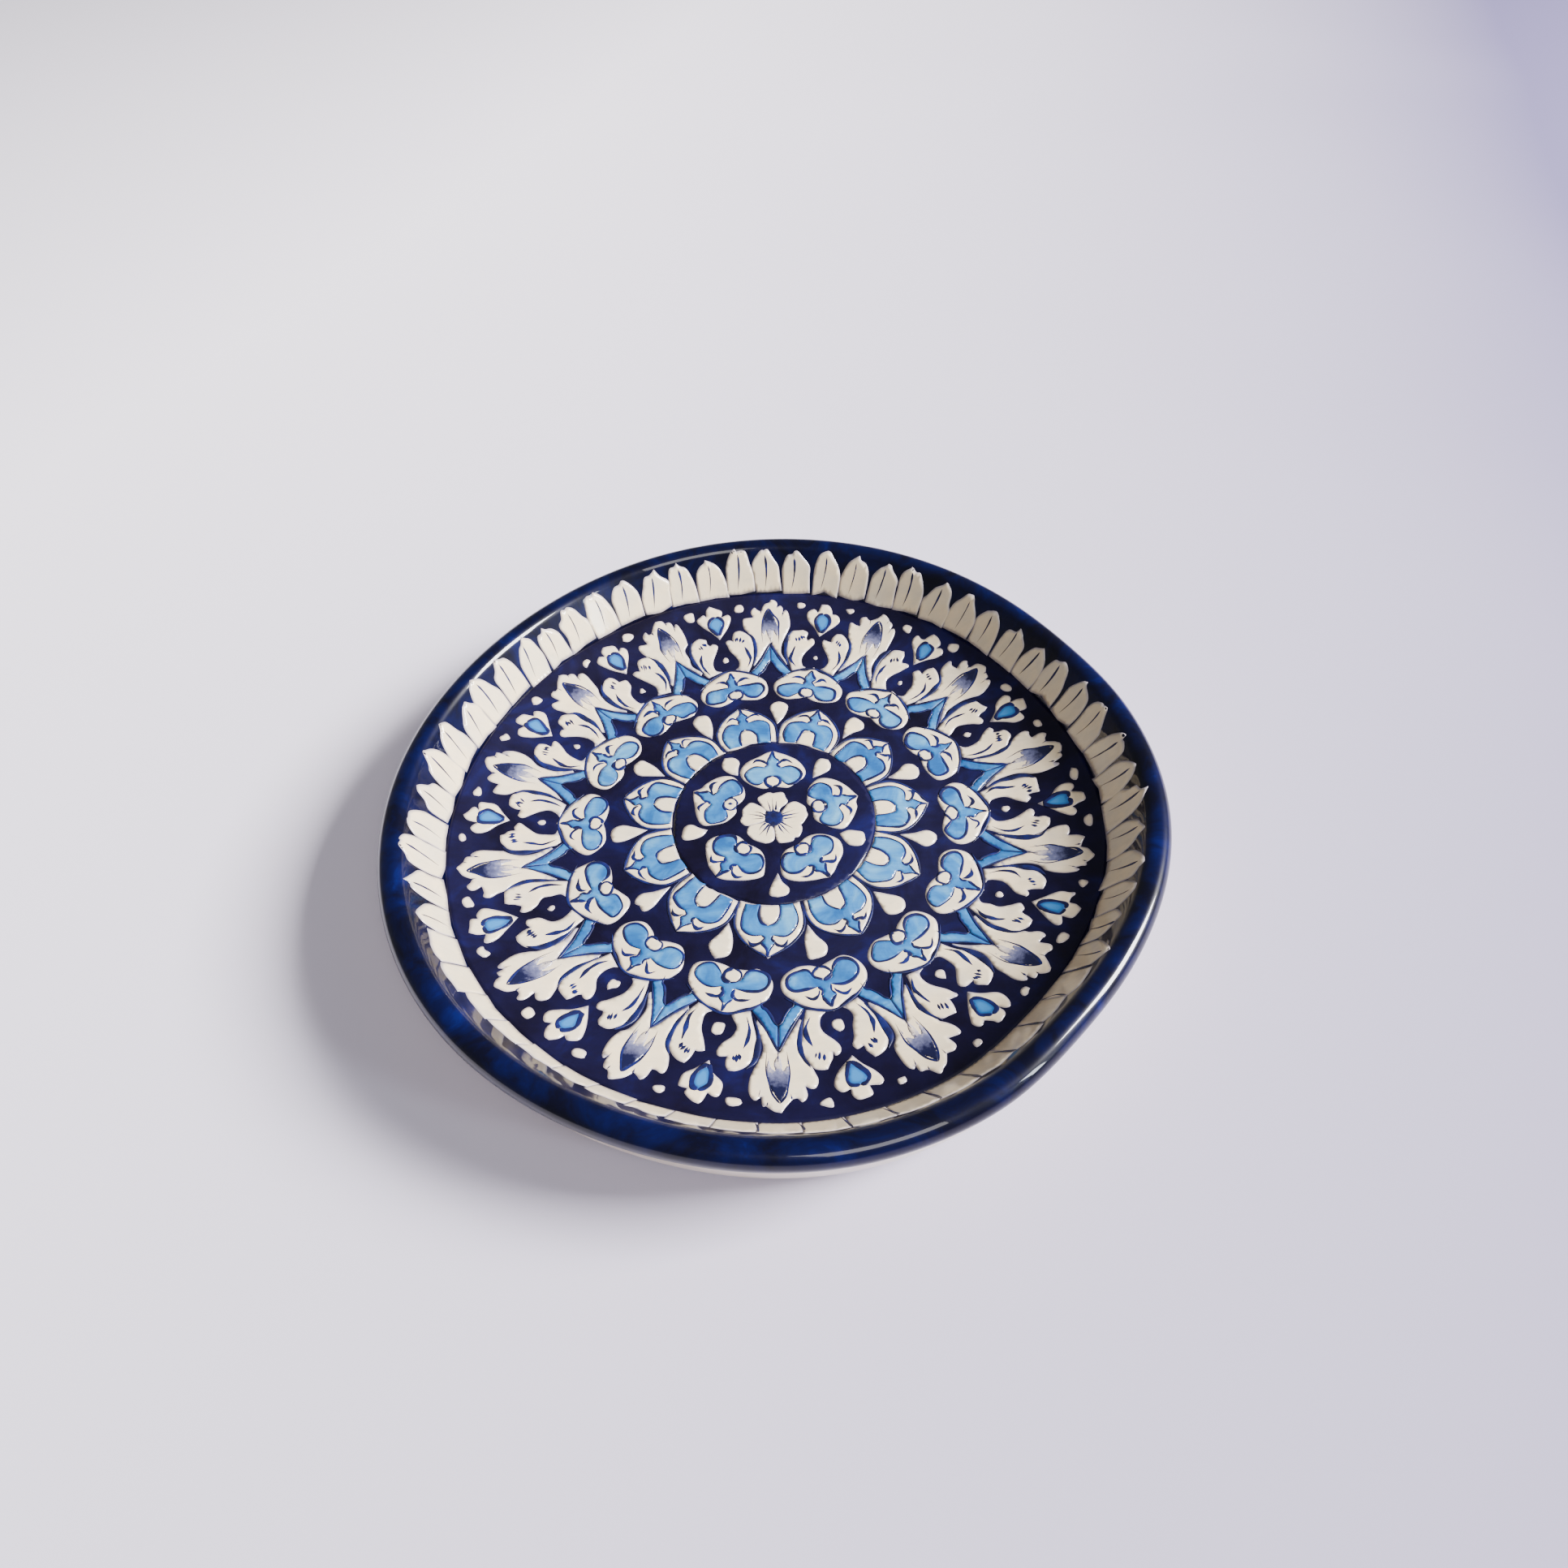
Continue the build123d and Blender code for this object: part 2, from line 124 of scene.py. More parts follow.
def skin(radius, lift):
    # plan radius and lift above the glazed surface -> true radius and height, as arrays
    radius = np.asarray(radius, float)
    lift = np.broadcast_to(np.asarray(lift, float), radius.shape)
    turn = np.arcsin(np.clip((radius - plate["floorRadius"]) / wellArc, 0, 1))
    outR = np.where(radius <= plate["floorRadius"], radius, radius - lift * np.sin(turn))
    arcZ = floorTop + wellArc - (wellArc - lift) * np.cos(turn)
    outZ = np.where(radius <= plate["floorRadius"], floorTop + lift, arcZ)
    onWall = radius > wellEdge
    wallZ = edgeZ + (radius - wellEdge) * math.tan(slope)
    # the two coats meet on the crease, so the lift swings over just above it
    blend = np.clip((radius - wellEdge) / plate["creaseBlend"], 0, 1)
    edgeTurn = math.asin(reach / wellArc)
    tilt = edgeTurn + (slope - edgeTurn) * blend
    outR = np.where(onWall, radius - lift * np.sin(tilt), outR)
    outZ = np.where(onWall, wallZ + lift * np.cos(tilt), outZ)
    # above the wall the surface rolls over the lip
    onLip = radius > wallTopR + 1e-6
    back = np.clip(lipR - radius, 0, plate["lipRadius"])
    crest = np.sqrt(plate["lipRadius"] ** 2 - back ** 2)
    swell = 1 + lift / plate["lipRadius"]
    outR = np.where(onLip, lipR - back * swell, outR)
    outZ = np.where(onLip, lipZ + crest * swell, outZ)
    return outR, outZ


def tint(*parts):
    # a paint chip's red, green and blue, 0 to 255, as the shader wants them
    linear = [((part / 255 + 0.055) / 1.055) ** 2.4 if part > 10 else part / 3294 for part in parts]
    return tuple(linear) + (1.0,)


def makeObject(name, verts, faces, material, attributes=None):
    mesh = bpy.data.meshes.new(name)
    mesh.from_pydata([tuple(v) for v in verts], [], faces)
    mesh.validate()
    for key, values in (attributes or {}).items():
        layer = mesh.attributes.new(key, "FLOAT", "POINT")
        layer.data.foreach_set("value", np.asarray(values, dtype=np.float32))
    for polygon in mesh.polygons:
        polygon.use_smooth = True
    mesh.materials.append(material)
    mesh.update()
    piece = bpy.data.objects.new(name, mesh)
    bpy.context.scene.collection.objects.link(piece)
    return piece


def place(piece, slot, *nodes):
    # every piece is part of the one fired body
    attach(piece, "root")
    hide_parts(*nodes)


def lathe(name, section, material):
    # spins a closed section of (radius, height) points into a closed solid
    steps = plate["sideSteps"]
    verts = []
    levels = []
    for radius, height in section:
        if radius < 1e-6:
            levels.append([len(verts)] * steps)
            verts.append((0.0, 0.0, height))
            continue
        levels.append(list(range(len(verts), len(verts) + steps)))
        for step in range(steps):
            turn = 2 * math.pi * step / steps
            verts.append((radius * math.cos(turn), radius * math.sin(turn), height))
    faces = []
    for index in range(len(levels)):
        ringA = levels[index]
        ringB = levels[(index + 1) % len(levels)]
        for step in range(steps):
            after = (step + 1) % steps
            corners = [ringA[step], ringA[after], ringB[after], ringB[step]]
            face = list(dict.fromkeys(corners))
            if len(face) > 2:
                faces.append(face)
    return makeObject(name, warp(np.array(verts)), faces, material)


def nodeOf(tree, kind, **inputs):
    node = tree.nodes.new(kind)
    for key, value in inputs.items():
        node.inputs[key.replace("_", " ")].default_value = value
    return node


gloss = {
    "coatShare": 0.7,        # weakens every clear coat alike
    "specular": 0.25,
    "cobaltSpecular": 0.1,
    "index": 1.5,
}


def startMaterial(name, roughness, coat, coatRoughness):
    material = bpy.data.materials.new(name)
    material.use_nodes = True
    tree = material.node_tree
    shader = tree.nodes["Principled BSDF"]
    shader.inputs["Roughness"].default_value = roughness
    shader.inputs["Coat Weight"].default_value = coat * gloss["coatShare"]
    shader.inputs["Coat Roughness"].default_value = coatRoughness
    shader.inputs["Coat IOR"].default_value = gloss["index"]
    shader.inputs["Specular IOR Level"].default_value = gloss["specular"]
    shader.inputs["IOR"].default_value = gloss["index"]
    return material, tree, shader


def noise(tree, scale, detail=3.0, roughness=0.55, distortion=0.0, stretch=None):
    coords = tree.nodes.new("ShaderNodeTexCoord")
    source = coords.outputs["Object"]
    if stretch:
        mapping = nodeOf(tree, "ShaderNodeMapping", Scale=stretch)
        tree.links.new(source, mapping.inputs["Vector"])
        source = mapping.outputs["Vector"]
    values = {"Scale": scale, "Detail": detail, "Roughness": roughness, "Distortion": distortion}
    texture = nodeOf(tree, "ShaderNodeTexNoise", **values)
    tree.links.new(source, texture.inputs["Vector"])
    return texture.outputs["Fac"]


def ramp(tree, source, stops):
    node = tree.nodes.new("ShaderNodeValToRGB")
    while len(node.color_ramp.elements) < len(stops):
        node.color_ramp.elements.new(0.5)
    for element, (position, colour) in zip(node.color_ramp.elements, stops):
        element.position = position
        element.color = colour
    tree.links.new(source, node.inputs["Fac"])
    return node.outputs["Color"]


def grey(value):
    return (value, value, value, 1.0)


def mixed(tree, factor, first, second, mode="MIX"):
    node = tree.nodes.new("ShaderNodeMix")
    node.data_type = "RGBA"
    node.blend_type = mode
    colours = [socket for socket in node.inputs if socket.type == "RGBA"]
    for socket, value in zip([node.inputs["Factor"]] + colours, (factor, first, second)):
        if isinstance(value, (tuple, float)):
            socket.default_value = value
        else:
            tree.links.new(value, socket)
    return [socket for socket in node.outputs if socket.type == "RGBA"][0]


def toned(tree, amount, body, texture, low, high):
    # shades a colour by a texture: low and high are (place in the texture, brightness there)
    shade = ramp(tree, texture, [(low[0], grey(low[1])), (high[0], grey(high[1]))])
    return mixed(tree, amount, body, shade, "MULTIPLY")


def maths(tree, operation, first, second=0.0):
    node = tree.nodes.new("ShaderNodeMath")
    node.operation = operation
    for socket, value in zip(node.inputs, (first, second)):
        if isinstance(value, float):
            socket.default_value = value
        else:
            tree.links.new(value, socket)
    return node.outputs["Value"]


def painted(tree, name):
    # a value that the mesh carries at each point
    node = tree.nodes.new("ShaderNodeAttribute")
    node.attribute_name = name
    return node.outputs["Fac"]


def bump(tree, shader, height, strength, distance):
    node = nodeOf(tree, "ShaderNodeBump", Strength=strength, Distance=distance)
    tree.links.new(height, node.inputs["Height"])
    tree.links.new(node.outputs["Normal"], shader.inputs["Normal"])
    tree.links.new(node.outputs["Normal"], shader.inputs["Coat Normal"])


def wobblyGloss(tree, shader, strength=0.25, peel=0.12):
    # slow waves and a fine orange peel in the glaze
    slow = noise(tree, 55.0, 2.0)
    fine = noise(tree, 900.0, 2.0)
    both = maths(tree, "ADD", slow, maths(tree, "MULTIPLY", fine, peel))
    bump(tree, shader, both, strength, 0.0006)


glazes = {
    "fieldDark": tint(7, 4, 22),
    "fieldMid": tint(9, 6, 36),
    "fieldBright": tint(11, 15, 72),
    "rimDark": tint(2, 2, 18),
    "rimMid": tint(3, 6, 44),
    "rimBright": tint(6, 18, 84),
    "ivoryWarm": tint(222, 202, 166),
    "ivoryCool": tint(206, 192, 168),
    "ivoryEdge": tint(150, 142, 150),
    "blueDeep": tint(22, 74, 128),
    "blueMid": tint(42, 106, 160),
    "bluePale": tint(90, 148, 182),
    "dropCore": tint(28, 62, 118),
    "strokeInk": tint(6, 8, 42),
    "strokeThin": tint(14, 24, 84),
    "strokeFaded": tint(70, 84, 138),
    "cream": tint(226, 210, 184),
    "creamDeep": tint(204, 184, 154),
    "clay": tint(190, 152, 120),
    "clayDark": tint(158, 120, 92),
}


def fieldGlaze():
    # brushed cobalt ground of the well
    material, tree, shader = startMaterial("wellCobalt", 0.5, 0.4, 0.05)
    shader.inputs["Specular IOR Level"].default_value = gloss["cobaltSpecular"]
    cloud = noise(tree, 38.0, 5.0, 0.62, 0.6)
    stops = [(0.36, glazes["fieldDark"]), (0.56, glazes["fieldMid"]), (0.84, glazes["fieldBright"])]
    streak = noise(tree, 30.0, 4.0, 0.6, 0.3, (1.0, 5.0, 1.0))
    colour = toned(tree, 0.75, ramp(tree, cloud, stops), streak, (0.35, 0.72), (0.62, 1.12))
    tree.links.new(colour, shader.inputs["Base Color"])
    rough = ramp(tree, cloud, [(0.3, grey(0.42)), (0.7, grey(0.6))])
    tree.links.new(rough, shader.inputs["Roughness"])
    wobblyGloss(tree, shader)
    return material


def rimGlaze():
    # deep cobalt of wall and lip, cloudy where the brush passed twice
    material, tree, shader = startMaterial("rimCobalt", 0.3, 0.8, 0.02)
    shader.inputs["Specular IOR Level"].default_value = gloss["cobaltSpecular"]
    cloud = noise(tree, 46.0, 6.0, 0.66, 0.9)
    stops = [(0.40, glazes["rimDark"]), (0.60, glazes["rimMid"]), (0.86, glazes["rimBright"])]
    streak = noise(tree, 26.0, 4.0, 0.6, 0.4, (1.0, 1.0, 6.0))
    colour = toned(tree, 0.7, ramp(tree, cloud, stops), streak, (0.35, 0.7), (0.65, 1.15))
    tree.links.new(colour, shader.inputs["Base Color"])
    wobblyGloss(tree, shader, 0.2, 0.02)
    return material


def ivoryColour(tree):
    cloud = noise(tree, 70.0, 4.0, 0.6)
    body = ramp(tree, cloud, [(0.35, glazes["ivoryCool"]), (0.65, glazes["ivoryWarm"])])
    brush = noise(tree, 120.0, 4.0, 0.65, 0.4, (1.0, 3.5, 1.0))
    body = toned(tree, 0.8, body, brush, (0.3, 0.9), (0.6, 1.0))
    body = toned(tree, 0.35, body, noise(tree, 620.0, 1.0), (0.7, 1.0), (0.78, 0.72))
    edge = ramp(tree, painted(tree, "edge"), [(0.0, grey(1.0)), (0.35, grey(0.0))])
    return mixed(tree, edge, body, glazes["ivoryEdge"])


def ivorySlip():
    material, tree, shader = startMaterial("ivorySlip", 0.48, 0.9, 0.1)
    tree.links.new(ivoryColour(tree), shader.inputs["Base Color"])
    wobblyGloss(tree, shader, 0.3)
    return material


def lightBlue():
    # one loaded brush, paler where it ran dry and darker where the colour pooled at the edge
    material, tree, shader = startMaterial("lightBlue", 0.45, 0.9, 0.09)
    wash = noise(tree, 60.0, 4.0, 0.55, 0.9)
    stops = [(0.36, glazes["blueDeep"]), (0.52, glazes["blueMid"]), (0.72, glazes["bluePale"])]
    hair = noise(tree, 160.0, 4.0, 0.7, 0.2, (1.0, 6.0, 1.0))
    body = toned(tree, 0.8, ramp(tree, wash, stops), hair, (0.3, 0.86), (0.62, 1.05))
    edge = ramp(tree, painted(tree, "edge"), [(0.0, grey(0.9)), (0.7, grey(0.0))])
    colour = mixed(tree, edge, body, glazes["blueDeep"])
    tree.links.new(colour, shader.inputs["Base Color"])
    wobblyGloss(tree, shader, 0.3)
    return material


def dropBlue():
    # the tulips' drops are palest in the middle, where the colour ran out to the edge
    material, tree, shader = startMaterial("dropBlue", 0.45, 0.9, 0.09)
    wash = noise(tree, 150.0, 4.0, 0.6, 0.5)
    deep = maths(tree, "ADD", painted(tree, "edge"), maths(tree, "MULTIPLY", wash, 0.3))
    stops = [(0.22, glazes["dropCore"]), (0.55, glazes["blueDeep"]), (1.0, glazes["blueMid"])]
    tree.links.new(ramp(tree, deep, stops), shader.inputs["Base Color"])
    wobblyGloss(tree, shader, 0.2)
    return material


def navyStroke():
    material, tree, shader = startMaterial("navyStroke", 0.5, 0.35, 0.16)
    load = noise(tree, 210.0, 4.0, 0.6)
    body = ramp(tree, load, [(0.4, glazes["strokeInk"]), (0.72, glazes["strokeThin"])])
    tree.links.new(body, shader.inputs["Base Color"])
    wobblyGloss(tree, shader, 0.2)
    return material


def throatWash():
    # navy at the tip of the leaf's throat that the wet brush pulled down into the ivory
    material, tree, shader = startMaterial("throatWash", 0.45, 0.9, 0.09)
    hair = noise(tree, 520.0, 3.0, 0.65)
    level = maths(tree, "ADD", painted(tree, "along"), maths(tree, "MULTIPLY", hair, 0.45))
    level = maths(tree, "MULTIPLY", level, 0.7)
    faded = ramp(tree, level, [(0.20, grey(0.0)), (0.46, grey(0.85))])
    solid = ramp(tree, level, [(0.36, grey(0.0)), (0.66, grey(1.0))])
    colour = mixed(tree, faded, ivoryColour(tree), glazes["strokeFaded"])
    colour = mixed(tree, solid, colour, glazes["strokeInk"])
    tree.links.new(colour, shader.inputs["Base Color"])
    wobblyGloss(tree, shader, 0.2)
    return material


def creamGlaze():
    material, tree, shader = startMaterial("creamGlaze", 0.4, 0.9, 0.09)
    cloud = noise(tree, 40.0, 5.0, 0.6, 0.4)
    body = ramp(tree, cloud, [(0.35, glazes["creamDeep"]), (0.6, glazes["cream"])])
    wheel = noise(tree, 24.0, 3.0, 0.6, 0.2, (1.0, 1.0, 14.0))
    body = toned(tree, 0.7, body, wheel, (0.35, 0.88), (0.6, 1.0))
    colour = toned(tree, 0.5, body, noise(tree, 380.0, 2.0), (0.70, 1.0), (0.76, 0.45))
    tree.links.new(colour, shader.inputs["Base Color"])
    wobblyGloss(tree, shader, 0.35)
    return material


def bareClay():
    material, tree, shader = startMaterial("bareClay", 0.85, 0.0, 0.3)
    cloud = noise(tree, 60.0, 6.0, 0.7)
    body = ramp(tree, cloud, [(0.35, glazes["clayDark"]), (0.62, glazes["clay"])])
    grit = noise(tree, 900.0, 4.0, 0.7)
    colour = toned(tree, 0.8, body, grit, (0.35, 0.75), (0.55, 1.0))
    tree.links.new(colour, shader.inputs["Base Color"])
    bump(tree, shader, grit, 0.6, 0.0004)
    return material


wellCobalt = fieldGlaze()
rimCobalt = rimGlaze()
ivory = ivorySlip()
paleBlue = lightBlue()
coreBlue = dropBlue()
navy = navyStroke()
wash = throatWash()
cream = creamGlaze()
clay = bareClay()
print("glazes mixed")


def arcPoints(middle, radius, start, end, count):
    # points of an arc from one turn to another, in degrees
    points = []
    for index in range(count):
        turn = math.radians(start + (end - start) * index / (count - 1))
        points.append((middle[0] + radius * math.cos(turn), middle[1] + radius * math.sin(turn)))
    return points


def skinPoints(start, end, step, lift):
    # points of the inner surface between two plan radii
    count = max(2, int(round((end - start) / step)) + 1)
    radii = np.linspace(start, end, count)
    outR, outZ = skin(radii, lift)
    return list(zip(outR.tolist(), outZ.tolist()))


def sideCentre():
    # the outer wall is one arc from under the lip to the foot's edge, on the clay
    turn = math.radians(-plate["lipTurn"])
    swing = plate["lipRadius"] - plate["glaze"]
    top = (lipR + swing * math.cos(turn), lipZ + swing * math.sin(turn))
    low = (footOuter, 0.0)
    chord = math.hypot(top[0] - low[0], top[1] - low[1])
    arc = chord ** 2 / (8 * plate["wallBulge"]) + plate["wallBulge"] / 2
    inward = ((low[1] - top[1]) / chord, (top[0] - low[0]) / chord)
    back = arc - plate["wallBulge"]
    middle = ((top[0] + low[0]) / 2 + inward[0] * back, (top[1] + low[1]) / 2 + inward[1] * back)
    return top, middle, arc


footOuter = plate["footOuter"]
footInner = footOuter - plate["footWidth"]
sideTop, sideMiddle, sideArc = sideCentre()


def sidePoint(height, lift):
    swing = sideArc + lift
    return (sideMiddle[0] + math.sqrt(swing ** 2 - (height - sideMiddle[1]) ** 2), height)


def sidePoints(high, low, count, lift):
    return [sidePoint(high + (low - high) * index / (count - 1), lift) for index in range(count)]


underArc = wellArc + plate["glaze"] + (floorTop - plate["glaze"] - underZ)
underCentreZ = floorTop + wellArc


def underPoints(lift, last):
    # the body's underside from the middle out to a plan radius
    points = [(plate["floorRadius"] * index / 30, underZ - lift) for index in range(31)]
    for index in range(1, 60):
        radius = plate["floorRadius"] + (last - plate["floorRadius"]) * index / 59
        swing = underArc + lift
        offset = radius - plate["floorRadius"]
        points.append((radius, underCentreZ - math.sqrt(swing ** 2 - offset ** 2)))
    return points


def bodySections():
    glaze = plate["glaze"]
    lip = plate["lipRadius"]
    bare = plate["bareFoot"]
    bevel = plate["coatBevel"]
    worn = plate["footRounding"]
    lipStart = 90 + plate["wallAngle"]
    lipMiddle = (lipR, lipZ)
    sections = {}
    # the lip runs from the top of the wall over to its underside
    lipOuter = arcPoints(lipMiddle, lip, lipStart, plate["coatShort"] - plate["lipTurn"], 40)
    lipInner = arcPoints(lipMiddle, lip - glaze, lipStart, -plate["lipTurn"], 40)
    wellTop = skinPoints(0.0, wellEdge, plate["wellStep"], 0.0)
    wellLow = skinPoints(0.0, wellEdge, plate["wellStep"], -glaze)
    wallOuter = skinPoints(wellEdge, wallTopR, plate["wallStep"], 0.0)[1:-1]
    wallInner = skinPoints(wellEdge, wallTopR, plate["wallStep"], -glaze)[1:-1]
    sections["well"] = wellTop + wellLow[::-1]
    sections["rim"] = [wellTop[-1]] + wallOuter + lipOuter + lipInner[::-1] + wallInner[::-1] + [wellLow[-1]]
    sideOut = sidePoints(sideTop[1] + bevel, bare, 30, glaze)
    sideIn = sidePoints(sideTop[1], bare, 30, 0.0)
    sections["outer"] = [lipInner[-1]] + sideOut + sideIn[::-1][:-1]
    back = underPoints(glaze, footInner - glaze) + [(footInner - glaze, bare + bevel), (footInner, bare)]
    sections["back"] = back + underPoints(0.0, footInner)[::-1]
    body = underPoints(0.0, footInner) + [(footInner, footTop)]
    body += sidePoints(footTop, sideTop[1], 12, 0.0)[:-1]
    sections["body"] = body + lipInner[::-1] + wallInner[::-1] + wellLow[::-1]
    foot = [(footInner, footTop), (footInner, worn)]
    foot += arcPoints((footInner + worn, worn), worn, 190, 262, 5)
    foot += [(footInner + worn * 1.3, 0.0), (footOuter - worn * 1.2, 0.0)]
    foot += [(footOuter - worn * 0.4, worn * 0.16)]
    sections["foot"] = foot + sidePoints(worn * 0.9, footTop, 6, 0.0)
    return sections


def makeBody():
    sections = bodySections()
    coats = [
        ("wellGlaze", "well", wellCobalt, "well_cobalt", "well_glaze"),
        ("rimGlaze", "rim", rimCobalt, "cobalt_glaze", "rim_glaze"),
        ("outerGlaze", "outer", cream, "cream_glaze", "outer_glaze"),
        ("undersideGlaze", "back", cream, "cream_glaze", "underside_glaze"),
        ("clayBody", "body", clay, "clay", "clay_body"),
        ("footRing", "foot", clay, "clay", "foot_ring"),
    ]
    for name, section, material, slot, node in coats:
        place(lathe(name, sections[section], material), slot, node)


makeBody()
print("body turned")


# Brushwork is blobs of slip and ribbons of ink, laid on the skin.
# An outline point is (side, out): side is -1 to 1 across the motif's share of its ring and out is in
# radii of the well. Each run is one smooth brush edge, and runs meet at corners.
def toPlan(point, count):
    turn = point[0] * math.pi / count
    return np.array((point[1] * wellEdge * math.cos(turn), point[1] * wellEdge * math.sin(turn)))


def smoothRun(points, step):
    # an even curve through the points, corners only at its ends
    points = [np.asarray(p, float) for p in points]
    if len(points) == 2:
        count = max(1, int(np.linalg.norm(points[1] - points[0]) / step))
        return [points[0] + (points[1] - points[0]) * index / count for index in range(count + 1)]
    padded = [2 * points[0] - points[1]] + points + [2 * points[-1] - points[-2]]
    curve = []
    for index in range(1, len(padded) - 2):
        before, first, second, after = padded[index - 1:index + 3]
        gap = np.linalg.norm(second - first)
        left = (second - before) * gap / max(np.linalg.norm(second - before), 1e-9)
        right = (after - first) * gap / max(np.linalg.norm(after - first), 1e-9)
        count = max(2, int(gap / step) + 1)
        for part in range(count):
            t = part / count
            curve.append(
                first * (2 * t ** 3 - 3 * t ** 2 + 1) + left * (t ** 3 - 2 * t ** 2 + t)
                + second * (-2 * t ** 3 + 3 * t ** 2) + right * (t ** 3 - t ** 2)
            )
    curve.append(points[-1])
    return curve


def mirrored(half):
    return half + [[(-side, out) for side, out in reversed(run)] for run in reversed(half)]


def flipped(line, side):
    return [(across * side, out) for across, out in line]


def swapped(runs):
    return [[(-side, out) for side, out in reversed(run)] for run in reversed(runs)]


def shaken(runs, count, amount, rng):
    # the same outline by hand: every point strays a little, shared corners together
    strays = {}
    result = []
    for run in runs:
        moved = []
        for side, out in run:
            key = (round(side, 4), round(out, 4))
            if key not in strays:
                across = rng.gauss(0, amount) / (math.pi / count * out * wellEdge)
                strays[key] = (side + across, out + rng.gauss(0, amount) / wellEdge)
            moved.append(strays[key])
        result.append(moved)
    return result


class Brush:
    # gathers many laid shapes into one mesh
    def __init__(self):
        self.plan = []
        self.lift = []
        self.edge = []
        self.along = []
        self.faces = []

    def add(self, plan, lift, edge, along, faces, turn):
        start = len(self.lift)
        cosT, sinT = math.cos(turn), math.sin(turn)
        for x, y in plan:
            self.plan.append((x * cosT - y * sinT, x * sinT + y * cosT))
        self.lift += list(lift)
        self.edge += list(edge)
        self.along += list(along)
        self.faces += [[start + index for index in face] for face in faces]

    def finish(self, name, material):
        plan = np.array(self.plan)
        radius = np.hypot(plan[:, 0], plan[:, 1])
        outR, outZ = skin(radius, np.array(self.lift))
        share = outR / np.maximum(radius, 1e-9)
        points = np.column_stack((plan[:, 0] * share, plan[:, 1] * share, outZ))
        values = {"edge": self.edge, "along": self.along}
        return makeObject(name, warp(points), self.faces, material, values)


def distances(points, loop):
    # distance of each point from a closed outline
    leg = np.roll(loop, -1, axis=0) - loop
    length = np.maximum((leg ** 2).sum(1), 1e-18)
    offset = points[:, None, :] - loop[None, :, :]
    share = np.clip((offset * leg[None]).sum(2) / length[None], 0, 1)
    return np.sqrt(((offset - share[..., None] * leg[None]) ** 2).sum(2).min(1))


def inside(points, loop):
    x1, y1 = loop[:, 0], loop[:, 1]
    x2, y2 = np.roll(x1, -1), np.roll(y1, -1)
    px, py = points[:, 0][:, None], points[:, 1][:, None]
    crosses = (y1 > py) != (y2 > py)
    at = (x2 - x1) * (py - y1) / np.where(y2 == y1, 1e-12, y2 - y1) + x1
    return (crosses & (px < at)).sum(1) % 2 == 1


laidOn = {
    "outlineStep": 0.0008,
    "gridStep": 0.0016,
    "roundEdge": 0.0009,     # how far in from its edge a blob reaches full height
    "edgeHeight": 0.25,      # share of its height that a blob has at its very edge
    "edgeFade": 0.0022,      # how far in from a blob's edge the colour still knows the edge
    "sink": 0.00006,         # how deep a blob's base sits in the coat below
    "strokeStep": 0.0007,
    "hairline": 0.00004,     # half the width of the thinnest stroke
}


def blob(brush, runs, count, turn, low, thick, fadeFrom=None, fadeTo=None, step=None, soft=None):
    # a closed pad of slip with a soft rounded edge
    grid = step or laidOn["gridStep"]
    loop = []
    for run in runs:
        loop += smoothRun([toPlan(point, count) for point in run], min(laidOn["outlineStep"], grid))[:-1]
    loop = np.array(loop)
    lowest, highest = loop.min(0), loop.max(0)
    across = np.arange(lowest[0], highest[0], grid)
    rows = np.arange(lowest[1], highest[1], grid * 0.866)
    spots = []
    for index, y in enumerate(rows):
        shift = grid / 2 if index % 2 else 0
        spots += [(x + shift, y) for x in across]
    spots = np.array(spots) if spots else np.zeros((0, 2))
    if len(spots):
        spots = spots[inside(spots, loop)]
    if len(spots):
        spots = spots[distances(spots, loop) > grid * 0.45]
    every = [Vector(p) * 1000 for p in loop.tolist() + spots.tolist()]
    ring = list(range(len(loop)))
    links = [(index, (index + 1) % len(loop)) for index in ring]
    found = delaunay_2d_cdt(every, links, [ring], 1, 1e-5)
    plan = np.array([(v.x, v.y) for v in found[0]]) / 1000
    triangles = [list(face) for face in found[2]]
    away = distances(plan, loop)
    swell = np.clip(away / (soft or laidOn["roundEdge"]), 0, 1)
    edgeHeight = laidOn["edgeHeight"]
    lift = low + thick * (edgeHeight + (1 - edgeHeight) * np.sqrt(1 - (1 - swell) ** 2))
    base = np.full(len(plan), low - laidOn["sink"])
    edge = np.clip(away / laidOn["edgeFade"], 0, 1)
    if fadeFrom is None:
        along = np.zeros(len(plan))
    else:
        out = np.hypot(plan[:, 0], plan[:, 1]) / wellEdge
        along = np.clip((out - fadeFrom) / (fadeTo - fadeFrom), 0, 1)
    total = len(plan)
    sides = {(face[index], face[(index + 1) % 3]): True for face in triangles for index in range(3)}
    rims = [pair for pair in sides if (pair[1], pair[0]) not in sides]
    faces = triangles + [[index + total for index in reversed(face)] for face in triangles]
    faces += [[pair[1], pair[0], pair[0] + total, pair[1] + total] for pair in rims]
    brush.add(
        plan.tolist() * 2, lift.tolist() + base.tolist(), edge.tolist() + [0] * total,
        along.tolist() * 2, faces, turn,
    )


